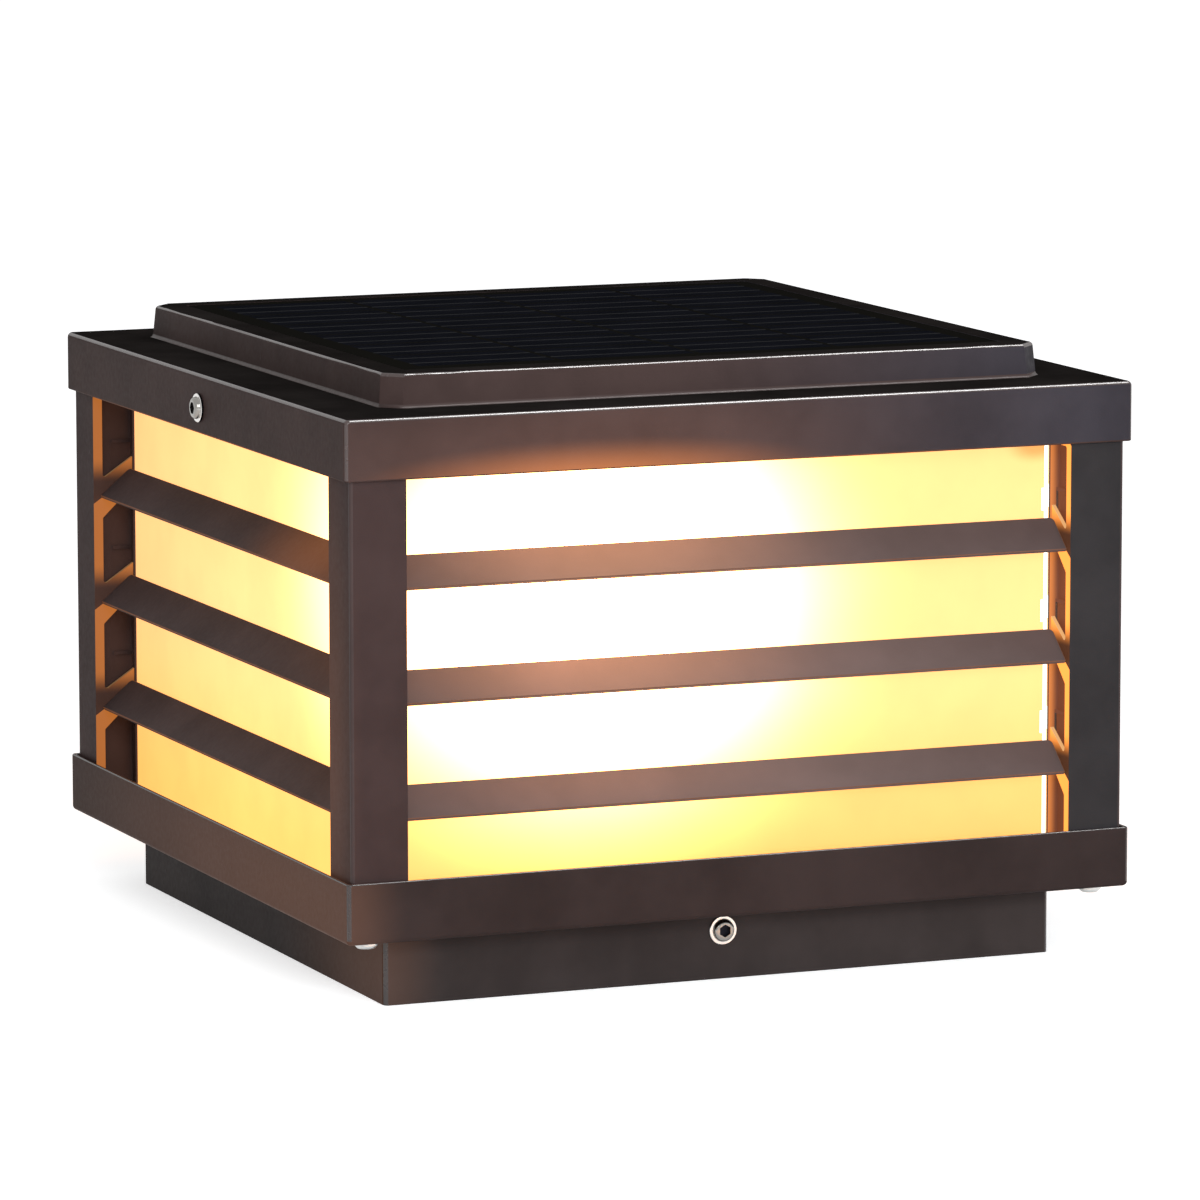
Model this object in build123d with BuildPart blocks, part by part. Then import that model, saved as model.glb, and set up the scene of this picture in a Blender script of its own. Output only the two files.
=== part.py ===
"""Square pillar-top solar lantern, folded from steel sheet, with louvred sides and frosted panels.

Millimetres. The origin is the centre of the plinth's bottom edge, +Z is up, front is -Y and left is -X.
All four sides are alike, so one side or corner is drawn and then turned about the Z axis.
"""

import os
from math import asin, cos, hypot, sin

from build123d import *

os.makedirs("parts", exist_ok=True)

# Overall form
cap_width = 250.0
skirt_height = 18.0
brim_width = 20.0
stage_height = 10.0
stage_draft = 0.8
stage_corner_cut = 5.4
stage_rim = 9.2
tray_lip_height = 18.0
plinth_inset = 18.0
plinth_height = 22.0
opening_height = 116.5

# Sheet metal
cap_sheet = 1.2
tray_sheet = 1.2
plinth_sheet = 1.2
post_sheet = 1.2
slat_sheet = 1.2
rail_sheet = 1.0
frame_sheet = 1.2
channel_sheet = 1.2
deck_sheet = 1.2
bracket_sheet = 2.0
outer_bend = 1.5
corner_bend = 1.6
inner_bend = 0.8

# Corner posts and louvres
post_gap = 0.8
post_face_width = 17.4
comb_depth = 12.8
comb_spine = 3.0
comb_top_band = 1.2
comb_foot_height = 9.0
comb_corner_radius = 2.0
slat_count = 3
first_slat_drop = 32.4
last_slat_rise = 16.9
slat_rise = 8.7
slat_edge_inset = 0.5
slat_outer_inset = 2.6
slat_corner_radius = 1.6
finger_above_slat = 3.7
gusset_drop_at_spine = 8.6
gusset_drop_at_tip = 5.5
foot_plate_sheet = 2.0

# Corner rails, with tabs bent outwards above each slat
rail_leg = 5.2
tab_length = 6.1
tab_gap = 0.2
web_gap = 0.3
tab_above_slat = 9.0

# Frosted panels and the channels that hold them
panel_thickness = 2.4
panel_side_gap = 0.3
panel_rebate_width = 1.7
panel_rebate_depth = 1.0
channel_height = 8.0
channel_gap = 0.3

# Top frame that ties the posts and carries the cap
frame_bearing = 22.0
frame_skirt = 12.0
frame_edge_gap = 0.4
notch_gap = 0.5
nut_path_gap = 1.4

# Plinth, bracket and their fasteners
plinth_flange = 12.0
plinth_seam = 0.6
bracket_width = 70.0
bracket_gap = 0.3
bracket_top_gap = 0.8
anchor_spacing_x = 40.0
anchor_spacing_y = 120.0
anchor_hole = 6.5
cable_hole = 24.0
drain_hole = 4.0
drain_clearance = 9.0

# Dome-head machine screws for the cap and the plinth
dome_screw_head = 8.7
dome_screw_head_height = 2.2
dome_rim_height = 0.8
dome_screw_shank = 4.8
dome_screw_length = 9.6
dome_screw_socket = 3.4
dome_screw_socket_depth = 1.3
hole_clearance = 0.3
thread_gap = 0.05
nut_width = 8.0
nut_height = 3.6
nut_slide_gap = 0.3
cap_screw_height = 7.8
plinth_screw_drop = 7.3

# Small pan-head screws
pan_head = 7.0
pan_head_height = 2.4
pan_shank = 3.8
screw_end = 1.0
foot_plate_gap = 0.3
tray_screw_inset = 6.8
small_head = 5.4
small_head_height = 1.8
small_shank = 2.8

# Solar panel in the raised stage
solar_thickness = 3.2
solar_edge_gap = 0.3
gasket_thickness = 0.8
gasket_width = 6.0
gasket_inset = 1.0
ledge_width = 11.5
ledge_sheet = 1.2
brim_opening_inset = 1.5
junction_length = 44.0
junction_width = 24.0
junction_height = 5.6
junction_offset = 20.0
lead_diameter = 2.6
lead_bend = 4.0
lead_loop = 5.4
battery_lead_y = 24.0
led_lead_inset = 10.0
led_lead_y = -10.0
grommet_wall = 1.6
grommet_lip = 1.4
grommet_lip_height = 1.0

# Lamp deck, a white pan screwed under the cap
deck_gap = 1.5
deck_rim = 5.0
stud_inset = 4.8
stud_diameter = 3.9
stud_length = 6.0
stud_nut_width = 7.0
stud_nut_height = 3.2

# Lamp housing under the deck
housing_end_gap = 4.5
housing_width = 100.0
housing_height = 25.0
housing_wall = 2.0
housing_corner = 6.0
housing_gasket = 1.0
ear_length = 14.0
ear_reach = 10.0
ear_thickness = 3.0
ear_inset = 21.0

# Battery compartment, cells, holder and door
cell_diameter = 18.3
cell_length = 65.0
cell_web = 1.7
cell_clearance = 0.25
cell_floor_gap = 0.8
cell_nub_diameter = 6.0
cell_nub_height = 1.0
holder_wall = 2.2
holder_grip = 3.6
holder_gap = 0.9
contact_sheet = 0.5
contact_width = 9.0
contact_height = 9.0
contact_depth = 2.5
hatch_end_ledge = 1.7
hatch_side_ledge = 1.6
door_margin = 2.2
door_thickness = 2.0
door_seal = 1.0
door_seal_width = 1.8
door_gap = 0.2
hinge_pin_diameter = 2.4
hinge_knuckle = 5.2
hinge_offset = 1.0
hinge_lug_rise = 6.0
hinge_running_gap = 0.05
hinge_side_gap = 0.4
door_knuckle_length = 16.0
fixed_knuckle_length = 8.0
hinge_overhang = 0.7
hinge_gap = 0.3
door_tab_width = 16.0
door_tab_reach = 1.6

# Controller board, switch and power button
button_diameter = 11.4
button_gap = 0.3
button_stand = 3.4
button_flange_lip = 1.5
button_flange_height = 1.2
button_travel = 1.5
board_gap = 4.0
switch_width = 12.0
switch_height = 4.6
plunger_diameter = 5.0
plunger_height = 1.0
switch_corner = 1.0
board_thickness = 1.6
board_length = 76.0
board_width = 34.0
standoff_diameter = 6.0
connector_inset = 5.0
connector_length = 12.0
connector_width = 8.0
connector_height = 5.0
coil_diameter = 11.0
coil_height = 6.0
capacitor_diameter = 8.0
capacitor_height = 10.0
chip_width = 8.0
chip_height = 1.4

# Light source and frosted dome
led_board_inset = 2.4
led_board_thickness = 1.6
led_screw_inset = 0.8
led_length = 3.5
led_width = 2.8
led_height = 0.7
led_ring_inset = 9.0
led_ring_count = 8
led_core_radius = 4.5
led_core_count = 4
reflector_wall = 1.2
reflector_height = 6.0
dome_neck = 7.0
dome_wall = 1.6
dome_shoulder = 8.0
dome_flange = 5.0
dome_flange_height = 2.0
dome_gasket = 1.0
retainer_width = 6.6
retainer_lip = 1.5
retainer_gap = 0.3
door_retainer_gap = 0.8
retainer_screws = 4

# Levels that follow from the sizes above
tray_floor = plinth_height
tray_deck = tray_floor + tray_sheet
tray_top = tray_floor + tray_lip_height
skirt_bottom = tray_top + opening_height
brim_top = skirt_bottom + skirt_height
brim_under = brim_top - cap_sheet
stage_top = brim_top + stage_height
frame_top = brim_under
post_top = frame_top - frame_sheet
post_height = post_top - tray_deck
slat_pitch = (opening_height - first_slat_drop - last_slat_rise) / (slat_count - 1)
slat_outer_edges = [skirt_bottom - first_slat_drop - row * slat_pitch for row in range(slat_count)]
cap_screw_level = skirt_bottom + cap_screw_height
plinth_screw_height = plinth_height - plinth_screw_drop
bracket_tab_height = plinth_height - plinth_sheet - bracket_top_gap
solar_under = stage_top - solar_thickness
ledge_top = solar_under - gasket_thickness
lead_level = solar_under - junction_height / 2
deck_top = brim_under
deck_under = deck_top - deck_sheet
housing_top = deck_under - housing_gasket
housing_floor = housing_top - housing_height
housing_inside = housing_floor + housing_wall
cell_radius = cell_diameter / 2
cell_level = housing_inside + cell_floor_gap + cell_radius
button_seat = housing_inside + button_gap
plunger_bottom = button_seat + button_flange_height + button_travel + button_gap
board_under = plunger_bottom + plunger_height + switch_height
board_top = board_under + board_thickness
connector_top = board_top + connector_height
led_under = housing_floor - led_board_thickness
door_top = housing_floor - door_gap - door_seal
hinge_z = housing_floor - hinge_gap - hinge_knuckle / 2

# Widths of the outside, from the cap inwards
post_face = cap_width / 2 - cap_sheet - post_gap
post_inner = post_face - post_face_width
panel_plane = post_face - comb_depth
foot_width = comb_depth - post_sheet - foot_plate_gap
foot_screw_offset = post_face - post_sheet - foot_width / 2
tray_width = 2 * (post_face + post_gap + tray_sheet)
plinth_width = tray_width - 2 * plinth_inset
plinth_inside = plinth_width - 2 * plinth_sheet
drain_offset = plinth_width / 2 + drain_clearance
tray_screw_offset = plinth_inside / 2 - tray_screw_inset
stage_base_width = cap_width - 2 * brim_width
stage_top_width = stage_base_width - 2 * stage_draft
solar_width = stage_top_width - 2 * stage_rim
frame_opening = post_face - frame_bearing
deck_half = frame_opening - deck_gap
stud_offset = deck_half - deck_sheet - stud_inset
brim_opening = 2 * (stud_offset - brim_opening_inset)
screw_hole = dome_screw_shank / 2 + hole_clearance

# Lengths along the lamp unit, from the deck's edge inwards to the dome
housing_length = 2 * (deck_half - housing_end_gap)
ear_offset = housing_length / 2 - ear_inset
cell_spacing = cell_diameter + cell_web
holder_width = cell_spacing + 2 * (cell_radius + cell_clearance + holder_wall)
holder_room = cell_length + 2 * contact_depth
holder_length = holder_room + 2 * holder_wall
holder_offset = housing_length / 2 - housing_wall - holder_gap - holder_width / 2
holder_face = -holder_offset + holder_width / 2
hatch_width = holder_width - 2 * hatch_side_ledge
hatch_length = holder_length - 2 * hatch_end_ledge
hinge_x = -housing_length / 2 - hinge_offset
pin_bore = hinge_pin_diameter / 2 + hinge_running_gap
door_half_length = hatch_length / 2 + door_margin
outer_knuckle = door_half_length + hinge_overhang - fixed_knuckle_length / 2
door_knuckle_offset = outer_knuckle - fixed_knuckle_length / 2 - hinge_side_gap - door_knuckle_length / 2
middle_knuckle_length = 2 * (door_knuckle_offset - door_knuckle_length / 2 - hinge_side_gap)
door_edge = hinge_x + hinge_knuckle / 2 + hinge_gap
door_free_edge = -holder_offset + hatch_width / 2 + door_margin
button_offset = housing_length / 2 - housing_wall - board_gap - board_width / 2
button_flange = button_diameter + 2 * button_flange_lip
connector_offset = button_offset - board_width / 2 + connector_inset
retainer_radius = -door_free_edge - door_tab_reach - door_retainer_gap
retainer_screw_radius = retainer_radius - retainer_width / 2
flange_radius = retainer_radius - retainer_width - retainer_gap
dome_radius = flange_radius - dome_flange
dome_inside = dome_radius - dome_wall
dome_crown = dome_radius - dome_shoulder
dome_top = housing_floor - dome_gasket
dome_bottom = dome_top - dome_crown - dome_neck
retainer_bottom = dome_top - dome_flange_height - retainer_lip
led_board_radius = dome_inside - led_board_inset
led_screw_radius = led_board_radius - small_head / 2 - led_screw_inset
led_ring_radius = led_board_radius - led_ring_inset
led_lead_x = led_board_radius - led_lead_inset
side_names = ["front", "right", "rear", "left"]
corner_names = ["front_left", "front_right", "rear_right", "rear_left"]


def finish(part, name):
    """Names a finished piece and writes its file."""
    part.label = name
    export_step(part, f"parts/{name}.step")


def turned(part, quarter):
    """Gives a copy of a piece turned about Z by a number of quarter turns, anticlockwise from above."""
    return part.rotate(Axis.Z, 90 * quarter)


def slat_level(outer_edge, depth):
    """Height of a slat's middle plane at a depth behind the post's face."""
    return outer_edge + slat_rise * depth / comb_depth


def dome_screw(length):
    """A dome-head screw along Z: its head stands on the plane Z = 0 and its shank runs down from it."""
    head_radius = dome_screw_head / 2
    shank_radius = dome_screw_shank / 2
    rim = (head_radius, dome_rim_height)
    crown = (dome_screw_socket * 0.7, dome_screw_head_height)
    with BuildPart() as screw:
        with BuildSketch(Plane.XZ):
            with BuildLine():
                Polyline((0, dome_screw_head_height), (0, -length), (shank_radius, -length),
                         (shank_radius, 0), (head_radius, 0), rim)
                ThreePointArc(rim, (head_radius * 0.82, dome_screw_head_height * 0.68), crown)
                Line(crown, (0, dome_screw_head_height))
            make_face()
        revolve(axis=Axis.Z)
        with BuildSketch(Plane.XY.offset(dome_screw_head_height - dome_screw_socket_depth)):
            RegularPolygon(dome_screw_socket / 2, 6, major_radius=False)
        extrude(amount=dome_screw_socket_depth, mode=Mode.SUBTRACT)
    return screw.part


def pan_screw(head, head_height, shank, length):
    """A pan-head screw along Z: its head stands on the plane Z = 0 and its shank runs down from it."""
    with BuildPart() as screw:
        with BuildSketch():
            Circle(head / 2)
        extrude(amount=head_height)
        chamfer(screw.edges().group_by(Axis.Z)[-1], head_height * 0.4)
        with BuildSketch():
            Circle(shank / 2)
        extrude(amount=-length)
    return screw.part


def hex_nut(width, height, bore):
    """A hexagon nut along Z that stands on the plane Z = 0, with its bore clear of the screw's shank."""
    with BuildPart() as nut:
        with BuildSketch():
            RegularPolygon(width / 2, 6, major_radius=False)
            Circle(bore / 2 + thread_gap, mode=Mode.SUBTRACT)
        extrude(amount=height)
    return nut.part


def lead(points):
    """A round lead through the points given, with its bends rounded."""
    start, towards = Vector(points[0]), Vector(points[1])
    with BuildPart() as wire:
        with BuildLine() as path:
            FilletPolyline(*points, radius=lead_bend)
        with BuildSketch(Plane(start, z_dir=towards - start)):
            Circle(lead_diameter / 2)
        sweep(path=path.line)
    return wire.part


def ear_places():
    """Places of the lamp housing's four ears, two on its front side and two on its rear side."""
    return GridLocations(2 * ear_offset, housing_width + ear_reach, 2, 2)


def hinge_knuckles(places, length, bore, lug):
    """Knuckles along Y on the hinge axis; each has a lug, given as (x start, x end, z start, z end)."""
    with BuildPart() as knuckles:
        for place in places:
            with BuildSketch(Plane.XZ.offset(-place - length / 2)):
                with Locations((hinge_x, hinge_z)):
                    Circle(hinge_knuckle / 2)
                with Locations(((lug[0] + lug[1]) / 2, (lug[2] + lug[3]) / 2)):
                    Rectangle(lug[1] - lug[0], lug[3] - lug[2])
                with Locations((hinge_x, hinge_z)):
                    Circle(bore, mode=Mode.SUBTRACT)
            extrude(amount=length)
    return knuckles.part


def crown_arc(radius, crown, bottom):
    """A dome's curve in section, as three points from its wall to its lowest point on the axis."""
    ball = (radius ** 2 + crown ** 2) / (2 * crown)
    half_angle = asin(radius / ball) / 2
    midway = (ball * sin(half_angle), bottom + ball - ball * cos(half_angle))
    return (radius, bottom + crown), midway, (0, bottom)


# Plinth: one folded strip with a seam at the front-left corner and flanges turned in under the tray
with BuildPart() as plinth:
    with BuildSketch():
        RectangleRounded(plinth_width, plinth_width, corner_bend)
    extrude(amount=plinth_height)
    with BuildSketch():
        Rectangle(plinth_inside, plinth_inside)
    extrude(amount=plinth_height - plinth_sheet, mode=Mode.SUBTRACT)
    with BuildSketch(Plane.XY.offset(plinth_height - plinth_sheet)):
        Rectangle(plinth_inside - 2 * plinth_flange, plinth_inside - 2 * plinth_flange)
    extrude(amount=plinth_sheet, mode=Mode.SUBTRACT)
    seam_y = -plinth_inside / 2 + plinth_seam / 2
    with BuildSketch():
        with Locations((-plinth_width / 2, seam_y)):
            Rectangle(4 * plinth_sheet, plinth_seam)
    extrude(amount=plinth_height - plinth_sheet - inner_bend, mode=Mode.SUBTRACT)
    with BuildSketch(Plane.XZ):
        with Locations((0, plinth_screw_height)):
            Circle(screw_hole)
    extrude(amount=plinth_width, both=True, mode=Mode.SUBTRACT)
    with BuildSketch(Plane.XY.offset(plinth_height)):
        with GridLocations(2 * tray_screw_offset, 2 * tray_screw_offset, 2, 2):
            Circle(pan_shank / 2 + thread_gap)
    extrude(amount=-plinth_sheet, mode=Mode.SUBTRACT)
finish(plinth.part, "plinth")

# Bottom tray: a shallow dish whose lip stands round the feet of the posts
with BuildPart() as bottom_tray:
    tray_inside = tray_width - 2 * tray_sheet
    with BuildSketch(Plane.XY.offset(tray_floor)):
        RectangleRounded(tray_width, tray_width, corner_bend)
    extrude(amount=tray_lip_height)
    fillet(bottom_tray.edges().group_by(Axis.Z)[0], outer_bend)
    with BuildSketch(Plane.XY.offset(tray_deck)):
        RectangleRounded(tray_inside, tray_inside, corner_bend - tray_sheet + inner_bend)
    extrude(amount=tray_lip_height, mode=Mode.SUBTRACT)
    fillet(bottom_tray.edges().group_by(Axis.Z)[-1], tray_sheet * 0.4)
    with BuildSketch(Plane.XY.offset(tray_floor)):
        with GridLocations(2 * foot_screw_offset, 2 * foot_screw_offset, 2, 2):
            Circle(pan_shank / 2 + hole_clearance)
        with GridLocations(2 * tray_screw_offset, 2 * tray_screw_offset, 2, 2):
            Circle(pan_shank / 2 + hole_clearance)
        with PolarLocations(drain_offset, 4):
            Circle(drain_hole / 2)
    extrude(amount=tray_sheet, mode=Mode.SUBTRACT)
finish(bottom_tray.part, "bottom_tray")


def comb_window(row):
    """Corners of one window in a post's comb, as (depth behind the face, height), from top to bottom."""
    spine_slope = slat_rise / comb_depth
    window_end = comb_depth + post_sheet
    if row == 0:
        top_at_spine = skirt_bottom - comb_top_band
        top_at_tip = top_at_spine
    else:
        above = slat_outer_edges[row - 1]
        top_at_spine = slat_level(above, comb_spine) - gusset_drop_at_spine
        top_at_tip = slat_level(above, window_end) - gusset_drop_at_tip
    if row == slat_count:
        bottom_at_spine = tray_deck + comb_foot_height
        bottom_at_tip = bottom_at_spine
    else:
        bottom_at_spine = slat_level(slat_outer_edges[row], comb_spine) + finger_above_slat
        bottom_at_tip = bottom_at_spine + spine_slope * (window_end - comb_spine)
    return [(comb_spine, bottom_at_spine), (window_end, bottom_at_tip), (window_end, top_at_tip),
            (comb_spine, top_at_spine)]


def corner_post():
    """The front-left post: two faces, each with a comb flange turned in to the frosted panel's plane."""
    diagonal = Plane((0, 0, 0), x_dir=(1, 1, 0), z_dir=(1, -1, 0))
    face_middle = -post_face + post_face_width / 2
    flange_middle = post_inner + post_sheet / 2
    with BuildPart() as post:
        with BuildSketch(Plane.XY.offset(tray_deck)):
            with Locations((face_middle, -post_face + post_sheet / 2)):
                Rectangle(post_face_width, post_sheet)
            with Locations((-flange_middle, -post_face + comb_depth / 2)):
                Rectangle(post_sheet, comb_depth)
        extrude(amount=post_height)
        with BuildSketch(Plane.YZ.offset(-post_inner)):
            for row in range(slat_count + 1):
                with BuildLine():
                    corners = [(depth - post_face, level) for depth, level in comb_window(row)]
                    Polyline(*corners, close=True)
                make_face()
        extrude(amount=-post_sheet, mode=Mode.SUBTRACT)
        at_spine = post.edges().filter_by(Axis.X).filter_by_position(
            Axis.Y, comb_spine - post_face - 0.01, comb_spine - post_face + 0.01)
        fillet(at_spine, comb_corner_radius)
        mirror(about=diagonal)
        upright_edges = post.edges().filter_by(Axis.Z)
        outer_corner = upright_edges.sort_by_distance((-post_face, -post_face, post_top))[0]
        fillet(outer_corner, post_sheet * 0.8)
        with BuildSketch(Plane.XY.offset(tray_deck)):
            with Locations((-foot_screw_offset, -foot_screw_offset)):
                Rectangle(foot_width, foot_width)
                Circle(pan_shank / 2 + thread_gap, mode=Mode.SUBTRACT)
        extrude(amount=foot_plate_sheet)
    return post.part


def louvre_slat(outer_edge):
    """A front slat: a strip that slopes up from the post's face to the frosted panel, between two combs."""
    low = (-post_face + slat_outer_inset, outer_edge)
    high = (-panel_plane - slat_edge_inset, slat_level(outer_edge, comb_depth - slat_edge_inset))
    strip_width = hypot(high[0] - low[0], high[1] - low[1])
    middle = (0, (low[0] + high[0]) / 2, (low[1] + high[1]) / 2)
    strip_plane = Plane(middle, x_dir=(1, 0, 0), z_dir=(0, low[1] - high[1], high[0] - low[0]))
    with BuildPart() as slat:
        with BuildSketch(strip_plane):
            Rectangle(2 * post_inner, strip_width)
        extrude(amount=slat_sheet / 2, both=True)
        across = Axis(strip_plane.origin, strip_plane.z_dir)
        inner_corners = slat.edges().filter_by(across).sort_by(Axis.Y)[-2:]
        fillet(inner_corners, slat_corner_radius)
    return slat.part


def corner_rail():
    """The front-left rail: an angle between the panels, with webs behind the combs and tabs on the webs."""
    diagonal = Plane((0, 0, 0), x_dir=(1, 1, 0), z_dir=(1, -1, 0))
    web_middle = -panel_plane + rail_sheet * 1.5
    web_depth = comb_depth - post_sheet - web_gap
    tab_width = panel_plane - 2 * rail_sheet - (post_inner + post_sheet + tab_gap)
    tab_middle = -panel_plane + 2 * rail_sheet + tab_width / 2
    with BuildPart() as rail:
        with BuildSketch(Plane.XY.offset(tray_deck)):
            with Locations((-panel_plane + rail_leg / 2, -panel_plane + rail_sheet / 2)):
                Rectangle(rail_leg, rail_sheet)
            with Locations((web_middle, -panel_plane - web_depth / 2)):
                Rectangle(rail_sheet, web_depth)
        extrude(amount=post_height)
        for outer_edge in slat_outer_edges:
            tab_level = slat_level(outer_edge, comb_depth) + tab_above_slat
            with BuildSketch(Plane.XY.offset(tab_level)):
                with Locations((tab_middle, -panel_plane - tab_length / 2)):
                    Rectangle(tab_width, tab_length)
            extrude(amount=-rail_sheet)
            with BuildSketch(Plane.XY.offset(tab_level - rail_sheet)):
                with Locations((tab_middle, -panel_plane + rail_sheet / 2)):
                    Rectangle(tab_width, rail_sheet)
            extrude(amount=-tab_length, mode=Mode.SUBTRACT)
        mirror(about=diagonal)
    return rail.part


def frosted_panel():
    """The front panel: an opal sheet whose two upright edges are thinned where the rails stand."""
    panel_width = 2 * (panel_plane - rail_leg - panel_side_gap)
    low = tray_deck + channel_sheet + channel_gap
    high = post_top - channel_sheet - channel_gap
    with BuildPart() as panel:
        with BuildSketch(Plane.XZ.offset(panel_plane)):
            with Locations((0, (low + high) / 2)):
                Rectangle(panel_width, high - low)
        extrude(amount=-panel_thickness)
        with BuildSketch(Plane.XZ.offset(panel_plane)):
            with Locations((panel_width / 2 - panel_rebate_width / 2, (low + high) / 2),
                           (-panel_width / 2 + panel_rebate_width / 2, (low + high) / 2)):
                Rectangle(panel_rebate_width, high - low)
        extrude(amount=-panel_rebate_depth, mode=Mode.SUBTRACT)
    return panel.part


def panel_channel(base, upwards):
    """A front channel for a panel's edge; its base lies on the level given and its walls run up or down."""
    wall_inside = panel_plane - panel_thickness - channel_gap
    wall_outside = panel_plane + channel_gap
    length = 2 * (panel_plane - rail_leg - panel_side_gap)
    way = 1 if upwards else -1
    middle = -(wall_inside + wall_outside) / 2
    slot_height = channel_height - channel_sheet
    with BuildPart() as channel:
        with BuildSketch(Plane.YZ.offset(-length / 2)):
            with Locations((middle, base + way * channel_height / 2)):
                Rectangle(wall_outside - wall_inside + 2 * channel_sheet, channel_height)
            with Locations((middle, base + way * (channel_sheet + slot_height / 2))):
                Rectangle(wall_outside - wall_inside, slot_height, mode=Mode.SUBTRACT)
        extrude(amount=length)
    return channel.part


post = corner_post()
rail = corner_rail()
panel = frosted_panel()
sill = panel_channel(tray_deck, upwards=True)
header = panel_channel(post_top, upwards=False)
for quarter, corner in enumerate(corner_names):
    finish(turned(post, quarter), f"post_{corner}")
    finish(turned(rail, quarter), f"rail_{corner}")
for quarter, side in enumerate(side_names):
    finish(turned(panel, quarter), f"panel_{side}")
    for row, outer_edge in enumerate(slat_outer_edges):
        finish(turned(louvre_slat(outer_edge), quarter), f"slat_{side}_{row + 1}")

with BuildPart() as panel_channels:
    for quarter in range(4):
        add(turned(sill, quarter))
        add(turned(header, quarter))
finish(panel_channels.part, "panel_channels")

# Top frame: a flat ring on the posts, with skirts between them and open notches for the cap's screws
with BuildPart() as top_frame:
    frame_width = 2 * (post_face - frame_edge_gap)
    skirt_length = 2 * (post_inner - frame_edge_gap)
    skirt_face = frame_width / 2
    notch_width = dome_screw_shank + 2 * notch_gap
    relief_width = nut_width + 2 * nut_path_gap
    relief_depth = dome_screw_length - cap_sheet - post_gap + nut_path_gap
    with BuildSketch(Plane.XY.offset(post_top)):
        RectangleRounded(frame_width, frame_width, corner_bend)
        RectangleRounded(2 * frame_opening, 2 * frame_opening, corner_bend, mode=Mode.SUBTRACT)
        with Locations((-skirt_face + relief_depth / 2, 0), (skirt_face - relief_depth / 2, 0)):
            Rectangle(relief_depth, relief_width, mode=Mode.SUBTRACT)
    extrude(amount=frame_sheet)
    with BuildSketch(Plane.XY.offset(post_top)):
        with PolarLocations(skirt_face - frame_sheet / 2, 4):
            Rectangle(frame_sheet, skirt_length)
    extrude(amount=-frame_skirt)
    with BuildSketch(Plane.YZ):
        with Locations((0, cap_screw_level)):
            Circle(notch_width / 2)
        notch_rise = frame_top - cap_screw_level
        with Locations((0, cap_screw_level + notch_rise / 2)):
            Rectangle(notch_width, notch_rise)
    extrude(amount=cap_width / 2, both=True, mode=Mode.SUBTRACT)
finish(top_frame.part, "top_frame")

# Mounting bracket: a strap on the pillar's top with two upturned tabs that the plinth's screws draw up
with BuildPart() as mounting_bracket:
    bracket_face = plinth_width / 2 - plinth_sheet - bracket_gap
    with BuildSketch(Plane.YZ):
        with BuildLine():
            outer_path = [(-bracket_face, bracket_tab_height), (-bracket_face, 0), (bracket_face, 0),
                          (bracket_face, bracket_tab_height)]
            inner_face = bracket_face - bracket_sheet
            inner_path = [(inner_face, bracket_tab_height), (inner_face, bracket_sheet),
                          (-inner_face, bracket_sheet), (-inner_face, bracket_tab_height)]
            Polyline(*outer_path, *inner_path, close=True)
        make_face()
    extrude(amount=bracket_width / 2, both=True)
    bends = mounting_bracket.edges().filter_by(Axis.X).filter_by_position(Axis.Z, -0.1, 0.1)
    fillet(bends, bracket_sheet * 0.9)
    with BuildSketch():
        with GridLocations(anchor_spacing_x, anchor_spacing_y, 2, 2):
            Circle(anchor_hole / 2)
        Circle(cable_hole / 2)
    extrude(amount=bracket_sheet, mode=Mode.SUBTRACT)
    with BuildSketch(Plane.XZ):
        with Locations((0, plinth_screw_height)):
            Circle(dome_screw_shank / 2 + thread_gap)
    extrude(amount=plinth_width, both=True, mode=Mode.SUBTRACT)
finish(mounting_bracket.part, "mounting_bracket")

front_screw = Plane((0, -plinth_width / 2, plinth_screw_height), x_dir=(1, 0, 0), z_dir=(0, -1, 0))
rear_screw = Plane((0, plinth_width / 2, plinth_screw_height), x_dir=(-1, 0, 0), z_dir=(0, 1, 0))
left_screw = Plane((-cap_width / 2, 0, cap_screw_level), x_dir=(0, -1, 0), z_dir=(-1, 0, 0))
right_screw = Plane((cap_width / 2, 0, cap_screw_level), x_dir=(0, 1, 0), z_dir=(1, 0, 0))

long_screw = dome_screw(dome_screw_length)
with BuildPart() as plinth_screws:
    add(front_screw * long_screw)
    add(rear_screw * long_screw)
finish(plinth_screws.part, "plinth_screws")

with BuildPart() as cap_screws:
    add(left_screw * long_screw)
    add(right_screw * long_screw)
finish(cap_screws.part, "cap_screws")

# Nuts: two on the bracket's tabs, two on the cap's screws just behind the top frame, four on the cap's studs
bracket_nut_depth = plinth_sheet + bracket_gap + bracket_sheet + nut_height
cap_nut_depth = cap_sheet + post_gap + frame_edge_gap + frame_sheet + nut_slide_gap + nut_height
screw_nut = hex_nut(nut_width, nut_height, dome_screw_shank)
stud_nut = hex_nut(stud_nut_width, stud_nut_height, stud_diameter)
with BuildPart() as bracket_nuts:
    add(front_screw.offset(-bracket_nut_depth) * screw_nut)
    add(rear_screw.offset(-bracket_nut_depth) * screw_nut)
finish(bracket_nuts.part, "bracket_nuts")

with BuildPart() as cap_nuts:
    add(left_screw.offset(-cap_nut_depth) * screw_nut)
    add(right_screw.offset(-cap_nut_depth) * screw_nut)
    with GridLocations(2 * stud_offset, 2 * stud_offset, 2, 2):
        add(Plane.XY.offset(deck_under - stud_nut_height) * stud_nut)
finish(cap_nuts.part, "cap_nuts")

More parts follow.
